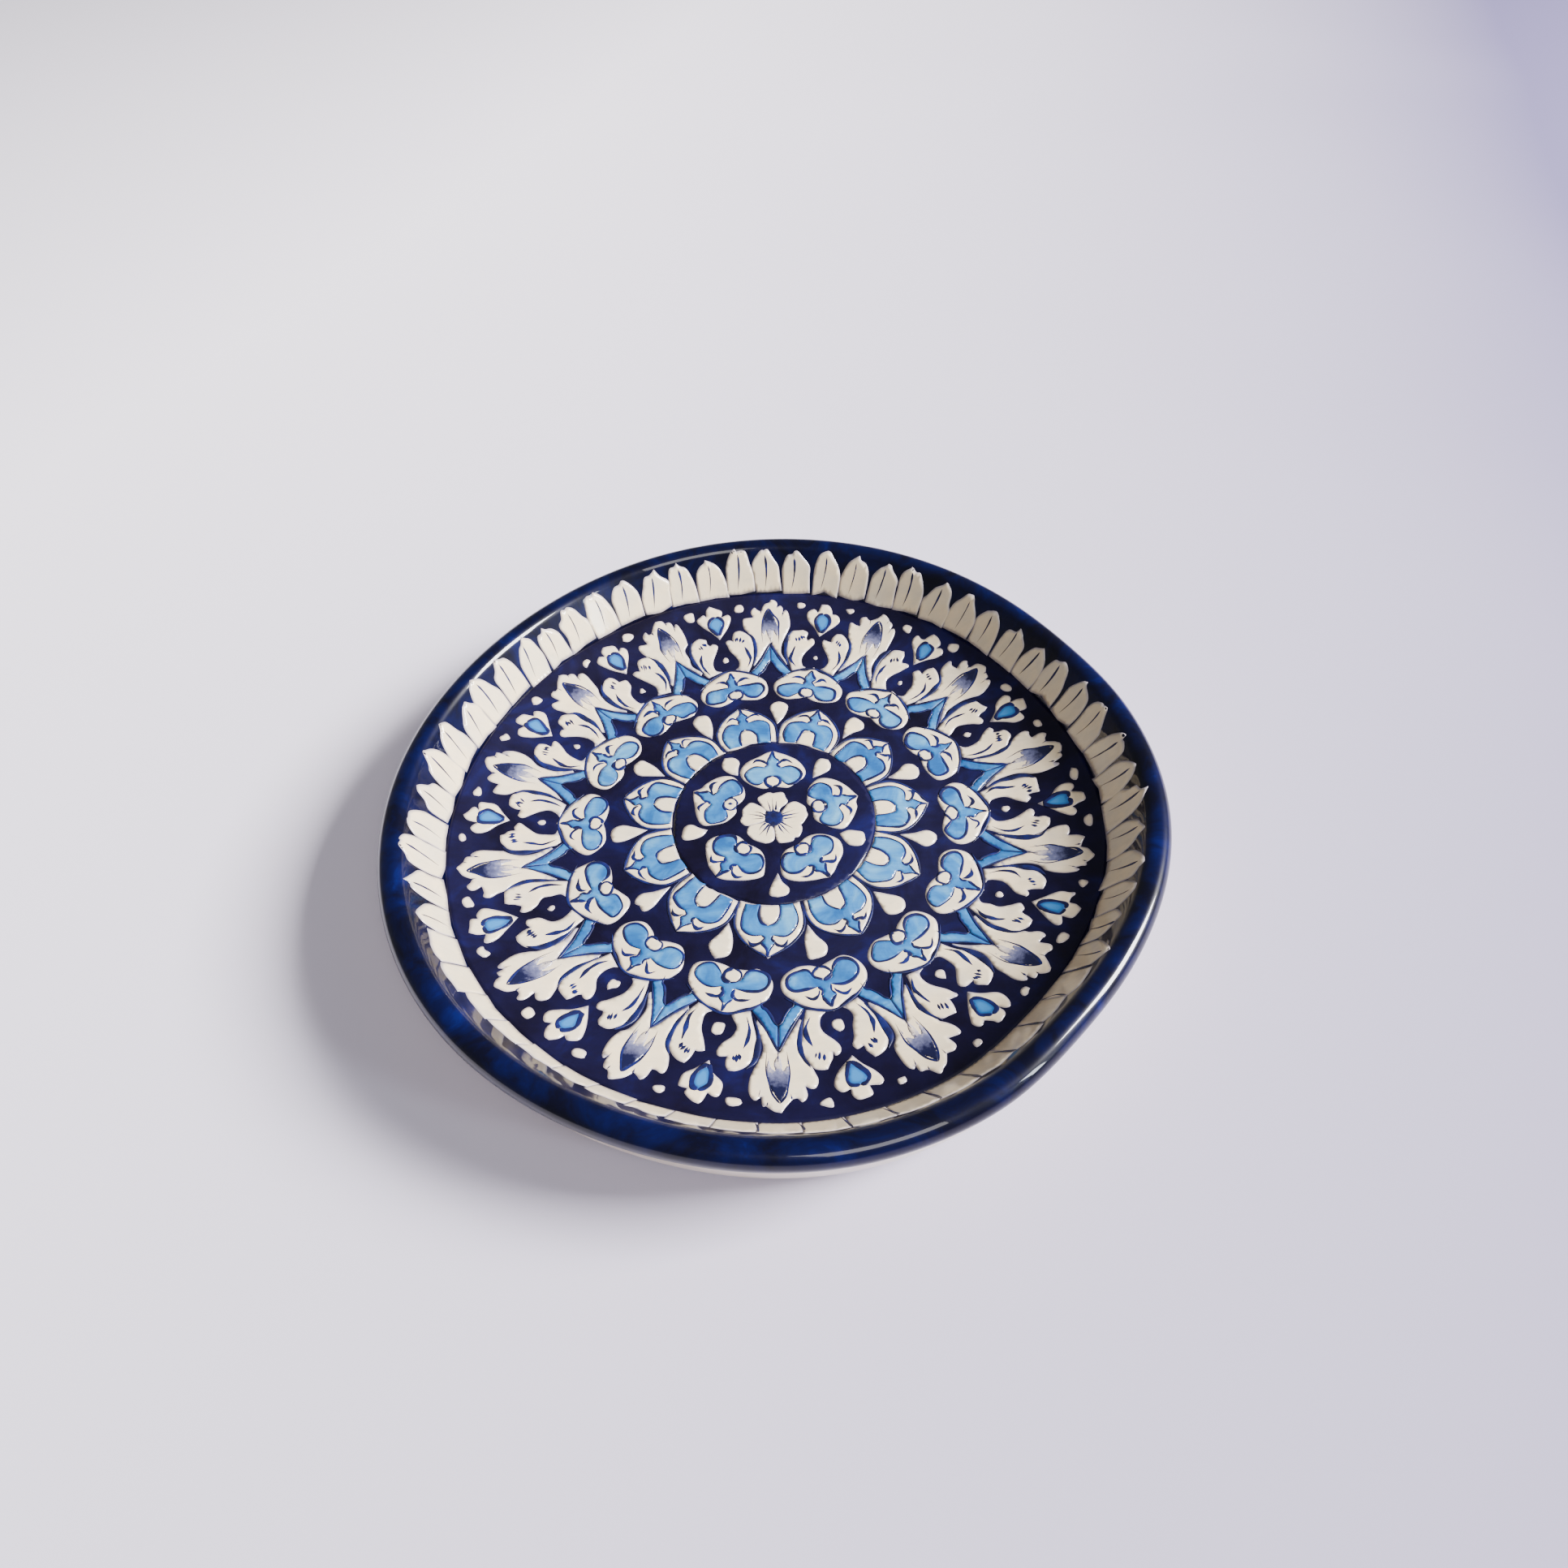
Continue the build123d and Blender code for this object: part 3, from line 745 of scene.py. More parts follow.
def ribbon(brush, points, count, turn, level, hair, rng, base=0.0):
    # One stroke of a pointed brush: it swells after it lands and thins as it lifts. A level is (low,
    # thick). A hair is (width, its least and most share, length it swells over, length it thins over).
    width, least, most, head, tail = hair
    if most > least:
        width *= rng.uniform(least, most)
    low, thick = base + level[0], level[1]
    path = np.array(smoothRun([toPlan(point, count) for point in points], laidOn["strokeStep"]))
    total = len(path)
    if total < 3:
        return
    heading = np.gradient(path, axis=0)
    heading /= np.maximum(np.linalg.norm(heading, axis=1), 1e-9)[:, None]
    normal = np.column_stack((-heading[:, 1], heading[:, 0]))
    t = np.linspace(0, 1, total)
    pressure = np.clip(t / head, 0.0, 1) ** 0.6 * np.clip((1 - t) / tail, 0.0, 1) ** 0.7
    phase = rng.uniform(0, 6.3)
    pressure = pressure * (1 + 0.16 * np.sin(t * 7 + phase) + 0.09 * np.sin(t * 17 + 2 * phase))
    half = np.maximum(width / 2 * pressure, laidOn["hairline"])
    plan, lift, faces = [], [], []
    lanes = [(-1.0, 0.0), (-0.6, 0.8), (0.0, 1.0), (0.6, 0.8), (1.0, 0.0)]
    for index in range(total):
        for lane, rise in lanes:
            plan.append(tuple(path[index] + normal[index] * half[index] * lane))
            lift.append(low + thick * rise if rise else low - laidOn["sink"])
    for index in range(total - 1):
        here, after = index * 5, index * 5 + 5
        for lane in range(4):
            faces.append([here + lane, after + lane, after + lane + 1, here + lane + 1])
        faces.append([here + 4, after + 4, after, here])
    faces.append([0, 1, 2, 3, 4])
    last = (total - 1) * 5
    faces.append([last + 4, last + 3, last + 2, last + 1, last])
    spread = [0.5] * len(lift)
    brush.add(plan, lift, spread, spread, [face[::-1] for face in faces], turn)


rings = {
    "petals": (60, 0.0),
    "border": (14, 0.0),
    "rosette": (11, -93.0),
    "hearts": (5, 90.0),
}
heights = {
    "ivory": 0.00014,
    "blue": 0.00005,
    "ink": 0.00004,
    "pearl": 0.00016,
}
inkTop = heights["ink"]
inkLow = heights["ivory"] - 0.00001
onIvory = (inkLow, inkTop)
onStem = (inkLow - 0.0001, inkTop)
onBlue = (inkLow + 0.00004, inkTop)
onPearl = (inkLow, 0.00014)
onMark = (inkLow + 0.00015, 0.00014)
onEdge = (0.00006, heights["ivory"] + inkTop)


def turns(count, first, strays=None):
    strays = strays or [0] * count
    return [math.radians(first + 360 * index / count + strays[index]) for index in range(count)]


# petals round the wall
wallPetals = {
    "seed": 11,
    "stray": 0.0004,
    "lean": 0.12,
    "tallSpread": 0.0035,
    "merged": 0.45,
    "mergedAt": 235.0,       # degrees round the plate
    "mergedWidth": 42.0,
    "joinedFrom": 209.0,     # between these the petals run together into one band
    "linedFrom": 262.0,
    "joinedTo": 319.0,
    "half": [
        [(0.0, 1.077), (0.20, 1.0745), (0.55, 1.066), (0.86, 1.051), (0.972, 1.032), (0.975, 1.0015)],
        [(0.975, 1.0015), (0.0, 1.0010)],
    ],
    "joinedHalf": [
        [(0.0, 1.068), (0.5, 1.067), (1.0, 1.064)],
        [(1.0, 1.064), (1.0, 1.0015)],
        [(1.0, 1.0015), (0.0, 1.0010)],
    ],
    "seam": [(1.10, 1.062), (1.04, 1.034), (0.86, 1.004)],
    "rib": [(-0.02, 1.066), (-0.02, 1.052), (0.06, 1.032), (0.22, 1.010)],
    "fullOut": 0.071,        # height of a petal that the lean is given for
    "seamHair": (0.0014, 0.7, 1.1, 0.2, 0.7),
    "ribHair": (0.0014, 0.6, 1.2, 0.12, 0.85),
}


def bent(run, lean, peak, tall, squat):
    # leans and stretches a petal, most at its tip
    result = []
    for side, out in run:
        share = max((out - 1.0) / wallPetals["fullOut"], 0)
        slant = (lean + peak * share) * share ** 1.6
        result.append((side + slant * squat, 1 + (out + tall * share - 1) * squat))
    return result


def makeWallPetals():
    count, first = rings["petals"]
    rng = random.Random(wallPetals["seed"])
    stray = wallPetals["stray"]
    slip, ink = Brush(), Brush()
    for turn in turns(count, first):
        lean = rng.gauss(-0.05, wallPetals["lean"])
        tall = rng.gauss(0, wallPetals["tallSpread"])
        peak = rng.uniform(-0.15, 0.2)
        degrees = math.degrees(turn)
        joined = wallPetals["joinedFrom"] < degrees < wallPetals["joinedTo"]
        lined = joined and degrees > wallPetals["linedFrom"]
        away = abs(degrees - wallPetals["mergedAt"])
        squat = 1 - wallPetals["merged"] * max(0.0, 1 - away / wallPetals["mergedWidth"])
        if joined:
            lean, peak, tall = 0.0, 0.0, tall * 0.5
        by = (lean, peak, tall, squat)
        half = wallPetals["joinedHalf" if joined else "half"]
        runs = shaken(mirrored(half), count, stray * 0.3 if lined else stray, rng)
        blob(slip, [bent(run, *by) for run in runs], count, turn, 0.0, heights["ivory"], step=0.0012)
        sway = rng.uniform(-0.12, 0.12)
        if lined:
            seam = shaken([bent(wallPetals["seam"], *by)], count, stray, rng)[0]
            ribbon(ink, seam, count, turn, onIvory, wallPetals["seamHair"], rng)
        elif not joined:
            rib = [(side + sway, out) for side, out in bent(wallPetals["rib"], *by)]
            ribbon(ink, rib, count, turn, onIvory, wallPetals["ribHair"], rng)
    place(slip.finish("wallPetals", ivory), "ivory_slip", "wall_petals")
    place(ink.finish("wallPetalRibs", navy), "navy_stroke", "wall_petal_ribs")


makeWallPetals()
print("wall petals painted")

# acanthus leaves, their side curls, stems and throats
leaves = {
    "seed": 23,
    "stray": 0.00034,
    "outline": [
        [(0.00, 0.968), (0.085, 0.954), (0.16, 0.932)],
        [(0.16, 0.932), (0.22, 0.936), (0.275, 0.944), (0.335, 0.930), (0.325, 0.902)],
        [(0.325, 0.902), (0.40, 0.904), (0.485, 0.906), (0.52, 0.887), (0.475, 0.860), (0.44, 0.844)],
        [(0.44, 0.844), (0.355, 0.820), (0.318, 0.782), (0.33, 0.745), (0.40, 0.704)],
        [(0.40, 0.704), (0.37, 0.694)],
        [(0.37, 0.694), (0.21, 0.7285), (0.04, 0.780), (0.0, 0.798)],
        [(0.0, 0.798), (-0.04, 0.780), (-0.21, 0.7285), (-0.37, 0.694)],
        [(-0.37, 0.694), (-0.40, 0.704)],
        [(-0.40, 0.704), (-0.27, 0.745), (-0.25, 0.782), (-0.28, 0.818), (-0.35, 0.842)],
        [(-0.35, 0.842), (-0.385, 0.872), (-0.365, 0.914), (-0.298, 0.934), (-0.25, 0.922)],
        [(-0.25, 0.922), (-0.235, 0.942), (-0.195, 0.951), (-0.145, 0.950)],
        [(-0.145, 0.950), (-0.115, 0.961), (-0.05, 0.970), (0.00, 0.968)],
    ],
    "throat": [
        [(0.015, 0.940), (0.070, 0.918), (0.125, 0.888), (0.152, 0.850), (0.13, 0.805)],
        [(0.13, 0.805), (0.105, 0.835), (0.06, 0.850)],
        [(0.06, 0.850), (0.045, 0.82), (0.0, 0.800)],
        [(0.0, 0.800), (-0.05, 0.82), (-0.07, 0.850)],
        [(-0.07, 0.850), (-0.11, 0.835), (-0.15, 0.808)],
        [(-0.15, 0.808), (-0.172, 0.850), (-0.130, 0.888), (-0.062, 0.918), (0.015, 0.940)],
    ],
    "sideRibs": [
        [(0.012, 0.943), (0.075, 0.918), (0.132, 0.888), (0.160, 0.850), (0.125, 0.792)],
        [(0.012, 0.943), (-0.067, 0.918), (-0.138, 0.888), (-0.180, 0.850), (-0.165, 0.790)],
    ],
    "middleRib": [(0.0, 0.900), (-0.015, 0.86), (-0.01, 0.82), (-0.005, 0.792)],
    "stemLine": [(0.0, 0.796), (0.0, 0.76), (0.0, 0.716)],
    "notches": [
        [(0.155, 0.935), (0.145, 0.918)], [(0.32, 0.905), (0.29, 0.898)],
        [(-0.25, 0.924), (-0.235, 0.905)], [(-0.145, 0.952), (-0.135, 0.940)],
    ],
    "curlLine": [(0.45, 0.846), (0.352, 0.820), (0.322, 0.782), (0.340, 0.742), (0.425, 0.692)],
    "curl": [
        [
            (0.515, 0.6695), (0.435, 0.700), (0.350, 0.745), (0.340, 0.782),
            (0.375, 0.819), (0.46, 0.843), (0.575, 0.853), (0.676, 0.8545),
        ],
        [(0.676, 0.8545), (0.725, 0.842), (0.745, 0.826), (0.765, 0.812)],
        [
            (0.765, 0.812), (0.835, 0.817), (0.905, 0.8145), (0.915, 0.801), (0.855, 0.778),
            (0.750, 0.750), (0.709, 0.7235), (0.740, 0.697), (0.830, 0.6860),
        ],
        [(0.830, 0.6860), (0.515, 0.6695)],
    ],
    "vein": [(0.535, 0.786), (0.478, 0.756), (0.480, 0.722), (0.565, 0.688)],
    "dashes": [
        [(0.535, 0.820), (0.570, 0.800)], [(0.580, 0.826), (0.618, 0.804)],
        [(0.628, 0.830), (0.665, 0.810)], [(0.672, 0.828), (0.705, 0.812)],
    ],
    "stem": [
        [(0.006, 0.788), (0.195, 0.7225), (0.345, 0.689), (0.472, 0.665)],
        [(0.472, 0.665), (0.325, 0.6330)],
        [(0.325, 0.6330), (0.290, 0.656), (0.225, 0.662), (0.130, 0.682), (0.060, 0.704), (0.006, 0.714)],
        [(0.006, 0.716), (0.006, 0.788)],
    ],
    "stemEdges": [
        [(0.0, 0.792), (0.195, 0.7255), (0.345, 0.6915), (0.478, 0.666)],
        [
            (0.0, 0.7125), (0.060, 0.7025), (0.130, 0.6805), (0.225, 0.6605),
            (0.288, 0.6545), (0.323, 0.6320),
        ],
    ],
    "throatFade": (0.796, 0.936),
    "sideRibHair": (0.0013, 0.8, 1.3, 0.05, 0.8),
    "middleRibHair": (0.0013, 1, 1, 0.3, 0.7),
    "stemLineHair": (0.0008, 1, 1, 0.2, 0.4),
    "notchHair": (0.0010, 0.5, 1.2, 0.1, 0.9),
    "stemEdgeHair": (0.0010, 0.8, 1.3, 0.1, 0.3),
    "curlLineHair": (0.0027, 0.8, 1.25, 0.35, 0.55),
    "veinHair": (0.0024, 0.75, 1.2, 0.35, 0.7),
    "dashHair": (0.0018, 0.7, 1.2, 0.4, 0.5),
}


def makeLeaves():
    count, first = rings["border"]
    first += 180 / count
    rng = random.Random(leaves["seed"])
    stray = leaves["stray"]
    fadeFrom, fadeTo = leaves["throatFade"]
    slip, curls, ink, veins, stems, throats = [Brush() for kind in range(6)]
    for turn in turns(count, first):
        blob(slip, shaken(leaves["outline"], count, stray, rng), count, turn, 0.0, heights["ivory"])
        throat = shaken(leaves["throat"], count, stray * 0.6, rng)
        blob(throats, throat, count, turn, inkLow, inkTop, fadeFrom, fadeTo, step=0.0009)
        for line in shaken(leaves["sideRibs"], count, stray * 0.7, rng):
            ribbon(ink, line, count, turn, onIvory, leaves["sideRibHair"], rng)
        ribbon(ink, leaves["middleRib"], count, turn, onIvory, leaves["middleRibHair"], rng)
        ribbon(ink, leaves["stemLine"], count, turn, onStem, leaves["stemLineHair"], rng)
        for line in leaves["notches"]:
            ribbon(ink, line, count, turn, onIvory, leaves["notchHair"], rng)
        for side in (1, -1):
            runs = leaves["curl"] if side > 0 else swapped(leaves["curl"])
            blob(curls, shaken(runs, count, stray, rng), count, turn, 0.0, heights["ivory"])
            runs = leaves["stem"] if side > 0 else swapped(leaves["stem"])
            runs = shaken(runs, count, stray * 0.5, rng)
            blob(stems, runs, count, turn, 0.0, heights["ivory"] * 0.8, step=0.0012)
            for line in leaves["stemEdges"]:
                ribbon(ink, flipped(line, side), count, turn, onEdge, leaves["stemEdgeHair"], rng)
            line = shaken([leaves["curlLine"]], count, stray * 0.6, rng)[0]
            ribbon(ink, flipped(line, side), count, turn, onEdge, leaves["curlLineHair"], rng)
            line = shaken([leaves["vein"]], count, stray, rng)[0]
            ribbon(veins, flipped(line, side), count, turn, onIvory, leaves["veinHair"], rng)
            for dash in leaves["dashes"][:rng.choice((3, 4, 4))]:
                line = shaken([dash], count, stray * 0.9, rng)[0]
                ribbon(veins, flipped(line, side), count, turn, onIvory, leaves["dashHair"], rng)
    place(slip.finish("acanthusLeaves", ivory), "ivory_slip", "acanthus_leaves")
    place(curls.finish("leafCurls", ivory), "ivory_slip", "leaf_curls")
    place(stems.finish("leafStems", paleBlue), "light_blue", "leaf_stems")
    place(throats.finish("leafThroats", wash), "navy_stroke", "leaf_throats")
    place(veins.finish("curlVeins", navy), "navy_stroke", "curl_veins")
    place(ink.finish("leafLines", navy), "navy_stroke", "leaf_throats")


makeLeaves()
print("leaves painted")

# tulips, loose dots and the drops in the loops
tulips = {
    "seed": 31,
    "stray": 0.00042,
    "outline": [
        [(0.045, 0.965), (0.100, 0.954), (0.120, 0.930)],
        [
            (0.120, 0.930), (0.18, 0.938), (0.245, 0.938), (0.300, 0.922),
            (0.270, 0.896), (0.15, 0.864), (0.01, 0.830),
        ],
        [(0.01, 0.830), (-0.14, 0.864), (-0.25, 0.890), (-0.290, 0.915), (-0.245, 0.932), (-0.14, 0.927)],
        [(-0.14, 0.927), (-0.135, 0.946), (-0.06, 0.962), (0.045, 0.965)],
    ],
    "fill": [[(0.0, 0.927), (0.09, 0.920), (0.125, 0.899), (0.075, 0.868), (0.0, 0.848)]],
    "dot": [
        [
            (0.088, 0.953), (0.05, 0.9645), (-0.05, 0.9645), (-0.088, 0.953),
            (-0.05, 0.9415), (0.05, 0.9415), (0.088, 0.953),
        ],
    ],
    "dotSide": 0.56,
    "drop": [[(0.0, 0.757), (0.07, 0.748), (0.105, 0.731), (0.07, 0.718), (0.0, 0.7155)]],
    "dotAt": 0.953,
    "dropAt": 0.738,
    "fillHair": (0.0018, 0.8, 1.2, 0.06, 0.06),
}


def resized(runs, middle, size, across=0.0, out=0.0):
    # grows or shrinks an outline about its middle and shifts it
    return [[(across + a * size, middle + out + (r - middle) * size) for a, r in run] for run in runs]


def makeTulips():
    count, first = rings["border"]
    rng = random.Random(tulips["seed"])
    stray = tulips["stray"]
    slip, fills, ink, dots, drops = [Brush() for kind in range(5)]
    for turn in turns(count, first):
        blob(slip, shaken(tulips["outline"], count, stray, rng), count, turn, 0.0, heights["ivory"])
        fill = shaken(mirrored(tulips["fill"]), count, stray * 0.7, rng)
        blob(fills, fill, count, turn, inkLow, heights["blue"], step=0.0011)
        for run in fill:
            ribbon(ink, run, count, turn, onBlue, tulips["fillHair"], rng)
        nearViewer = math.sin(turn) < -0.6
        size = rng.uniform(0.85, 1.05) if nearViewer else rng.uniform(0.45, 0.65)
        drop = resized(shaken(mirrored(tulips["drop"]), count, stray * 0.5, rng), tulips["dropAt"], size)
        blob(drops, drop, count, turn, 0.0, heights["ivory"], step=0.0009)
    for side in (1, -1):
        for turn in turns(count, first + 180 / count):
            size = rng.uniform(0.7, 1.2)
            across = side * tulips["dotSide"] + rng.gauss(0, 0.03)
            out = rng.gauss(0, 0.004)
            dot = resized(shaken(tulips["dot"], count, 0.00035, rng), tulips["dotAt"], size, across, out)
            blob(dots, dot, count, turn, 0.0, heights["ivory"], step=0.0011)
    place(slip.finish("tulips", ivory), "ivory_slip", "tulips")
    place(fills.finish("tulipFills", coreBlue), "light_blue", "tulip_fills")
    place(ink.finish("tulipLines", navy), "navy_stroke", "tulip_fills")
    place(dots.finish("borderDots", ivory), "ivory_slip", "border_dots")
    place(drops.finish("loopDrops", ivory), "ivory_slip", "loop_drops")


makeTulips()
print("tulips and dots painted")

# medallions
medallions = {
    "seed": 47,
    "stray": 0.00040,
    "outline": [
        [
            (0.0, 0.688), (0.16, 0.677), (0.40, 0.664), (0.70, 0.643), (0.89, 0.607),
            (0.88, 0.566), (0.62, 0.536), (0.26, 0.537), (0.0, 0.549),
        ],
    ],
    "fill": [
        [(0.0, 0.680), (0.05, 0.655), (0.13, 0.638)],
        [(0.13, 0.638), (0.10, 0.622), (0.15, 0.608)],
        [
            (0.15, 0.608), (0.40, 0.611), (0.66, 0.606), (0.80, 0.586),
            (0.75, 0.558), (0.53, 0.545), (0.31, 0.552), (0.20, 0.571),
        ],
        [(0.20, 0.571), (0.11, 0.584), (0.0, 0.588)],
    ],
    "hook": [(0.11, 0.616), (0.19, 0.634), (0.33, 0.643), (0.48, 0.635)],
    "pearl": [[(0.0, 0.5875), (0.13, 0.582), (0.190, 0.568), (0.13, 0.554), (0.0, 0.549)]],
    "topLine": [(-0.86, 0.628), (-0.47, 0.6635), (0.0, 0.6855), (0.47, 0.6635), (0.86, 0.628)],
    "topLineHair": (0.0012, 1, 1, 0.2, 0.2),
}
heartHairs = {
    "fill": (0.0012, 0.65, 1.4, 0.15, 0.15),
    "hook": (0.0023, 0.75, 1.2, 0.5, 0.45),
    "pearl": (0.0014, 0.6, 1.6, 0.1, 0.1),
}


def heartMotif(values, count, first, brushes, rng, low=0.0):
    # an ivory heart, its propeller of light blue, the pearl in its notch and the ink lines
    slip, fills, pearls, ink = brushes
    stray = values["stray"]
    for turn in turns(count, first, values.get("heartStrays")):
        blob(slip, shaken(mirrored(values["outline"]), count, stray, rng), count, turn, low, heights["ivory"])
        fill = shaken(mirrored(values["fill"]), count, stray * 0.8, rng)
        blob(fills, fill, count, turn, low + inkLow, heights["blue"], step=0.0013)
        for run in fill:
            ribbon(ink, run, count, turn, onBlue, heartHairs["fill"], rng, low)
        for side in (1, -1):
            hook = shaken([values["hook"]], count, stray, rng)[0]
            ribbon(ink, flipped(hook, side), count, turn, onIvory, heartHairs["hook"], rng, low)
        pearl = shaken(mirrored(values["pearl"]), count, stray * 0.6, rng)
        blob(pearls, pearl, count, turn, low + inkLow, heights["pearl"], step=0.001)
        for run in pearl:
            ribbon(ink, run, count, turn, onPearl, heartHairs["pearl"], rng, low)


def makeMedallions():
    count, first = rings["border"]
    rng = random.Random(medallions["seed"])
    slip, fills, pearls, ink = brushes = [Brush() for kind in range(4)]
    heartMotif(medallions, count, first, brushes, rng)
    for turn in turns(count, first):
        ribbon(ink, medallions["topLine"], count, turn, onEdge, medallions["topLineHair"], rng)
    place(slip.finish("medallions", ivory), "ivory_slip", "medallions")
    place(fills.finish("medallionFills", paleBlue), "light_blue", "medallion_fills")
    place(pearls.finish("medallionPearls", ivory), "ivory_slip", "medallion_pearls")
    place(ink.finish("medallionLines", navy), "navy_stroke", "medallion_fills")


makeMedallions()
print("medallions painted")

# rosette of pointed petals, with darts between them
rosette = {
    "seed": 59,
    "stray": 0.00032,
    "outline": [
        [
            (0.0, 0.497), (0.14, 0.487), (0.32, 0.473), (0.62, 0.445),
            (0.85, 0.412), (0.945, 0.375), (0.960, 0.326),
        ],
        [(0.960, 0.326), (0.48, 0.325), (0.0, 0.325)],
    ],
    "fill": [
        [(0.0, 0.496), (0.035, 0.474), (0.16, 0.452)],
        [(0.16, 0.452), (0.09, 0.440), (0.16, 0.428)],
        [(0.16, 0.428), (0.44, 0.430), (0.68, 0.413), (0.775, 0.375), (0.77, 0.326)],
        [(0.77, 0.326), (0.55, 0.3255), (0.31, 0.325)],
        [(0.31, 0.325), (0.29, 0.360), (0.17, 0.386), (0.0, 0.394)],
    ],
    "oval": [
        [(0.0, 0.393), (0.16, 0.384), (0.28, 0.358), (0.30, 0.326)],
        [(0.30, 0.326), (0.15, 0.325), (0.0, 0.325)],
    ],
    "hook": [(0.12, 0.440), (0.22, 0.455), (0.35, 0.457), (0.48, 0.445)],
    "outlineLine": [
        (0.0, 0.4985), (0.32, 0.4745), (0.62, 0.4465), (0.86, 0.413), (0.965, 0.375), (0.985, 0.326),
    ],
    "dart": [[(0.0, 0.520), (0.16, 0.512), (0.235, 0.487), (0.15, 0.446), (0.0, 0.404)]],
    "bareRuns": (3, 6),      # runs of the fill that lie along the disc and take no line
    "fillHair": (0.0010, 0.65, 1.4, 0.12, 0.12),
    "hookHair": (0.0021, 0.75, 1.2, 0.45, 0.45),
    "outlineHair": (0.0011, 1, 1, 0.1, 0.1),
}


def makeRosette():
    count, first = rings["rosette"]
    rng = random.Random(rosette["seed"])
    stray = rosette["stray"]
    slip, fills, ovals, ink, darts = [Brush() for kind in range(5)]
    for turn in turns(count, first):
        petal = shaken(mirrored(rosette["outline"]), count, stray, rng)
        blob(slip, petal, count, turn, 0.0, heights["ivory"])
        fill = shaken(mirrored(rosette["fill"]), count, stray * 0.8, rng)
        blob(fills, fill, count, turn, inkLow, heights["blue"], step=0.0013)
        for number, run in enumerate(fill):
            if number not in rosette["bareRuns"]:
                ribbon(ink, run, count, turn, onBlue, rosette["fillHair"], rng)
        oval = shaken(mirrored(rosette["oval"]), count, stray * 0.5, rng)
        blob(ovals, oval, count, turn, inkLow, heights["blue"] * 1.3, step=0.0011)
        for side in (1, -1):
            hook = shaken([rosette["hook"]], count, stray, rng)[0]
            ribbon(ink, flipped(hook, side), count, turn, onIvory, rosette["hookHair"], rng)
            line = flipped(rosette["outlineLine"], side)
            ribbon(ink, line, count, turn, onEdge, rosette["outlineHair"], rng)
    for turn in turns(count, first + 180 / count):
        dart = shaken(mirrored(rosette["dart"]), count, stray * 1.3, rng)
        blob(darts, dart, count, turn, 0.0, heights["ivory"])
    place(slip.finish("rosettePetals", ivory), "ivory_slip", "rosette_petals")
    place(fills.finish("rosetteFills", paleBlue), "light_blue", "rosette_fills")
    place(ovals.finish("rosettePearls", ivory), "ivory_slip", "rosette_pearls")
    place(ink.finish("rosetteLines", navy), "navy_stroke", "rosette_fills")
    place(darts.finish("rosetteDarts", ivory), "ivory_slip", "rosette_darts")


makeRosette()
print("rosette painted")

# middle disc with its hearts, drops and flower
centre = {
    "seed": 71,
    "stray": 0.00026,
    "heartStrays": [0, -6, -3.6, -0.2, -1.5],
    "dropStrays": [-4, -8, 2, -1, -2],
    "petalStrays": [2, 5, 1, 3, -5],
    "discOut": 0.3215,
    "discWash": 0.00007,
    "outline": [
        [
            (0.0, 0.286), (0.13, 0.275), (0.27, 0.267), (0.56, 0.251), (0.80, 0.226), (0.86, 0.196),
            (0.79, 0.158), (0.60, 0.134), (0.30, 0.1255), (0.0, 0.131),
        ],
    ],
    "fill": [
        [(0.0, 0.284), (0.05, 0.256), (0.15, 0.237)],
        [(0.15, 0.237), (0.11, 0.224), (0.20, 0.213)],
        [(0.20, 0.213), (0.46, 0.222), (0.72, 0.209), (0.78, 0.178), (0.60, 0.148), (0.30, 0.154)],
        [(0.30, 0.157), (0.16, 0.171), (0.0, 0.175)],
    ],
    "hook": [(0.12, 0.222), (0.20, 0.240), (0.32, 0.247), (0.46, 0.239)],
    "pearl": [[(0.0, 0.1735), (0.17, 0.167), (0.25, 0.152), (0.19, 0.136), (0.0, 0.1305)]],
    "drop": [[(0.0, 0.301), (0.13, 0.291), (0.18, 0.268), (0.11, 0.240), (0.0, 0.212)]],
    "petal": [
        [
            (0.0, 0.103), (0.20, 0.106), (0.50, 0.103), (0.82, 0.094), (1.00, 0.074),
            (0.98, 0.048), (0.74, 0.030), (0.0, 0.026),
        ],
    ],
    "veins": [
        [(0.0, 0.028), (0.03, 0.055), (-0.02, 0.084)], [(0.48, 0.028), (0.40, 0.050), (0.40, 0.074)],
        [(-0.48, 0.028), (-0.40, 0.048), (-0.33, 0.070)],
    ],
    "pearlMark": [(-0.05, 0.1545), (0.0, 0.1525), (0.05, 0.1505)],
    "markedHeart": 1,
    "eyeOut": 0.031,
    "eyeSpikes": 22,
    "spikeLength": 0.010,
    "discPoints": 26,
    "discStray": 0.0016,
    "discEdge": 0.006,       # how far in from its edge the disc's wash reaches full height
    "veinHair": (0.0012, 0.6, 1.3, 0.03, 0.95),
    "markHair": (0.0026, 1, 1, 0.4, 0.4),
}


def roundLoop(radius, stray, count, rng):
    # one closed run round the plate's axis, for a ring of one copy
    strays = [rng.gauss(0, stray) for index in range(count)]
    return [[(2 * index / count - 1, radius + strays[index % count]) for index in range(count + 1)]]


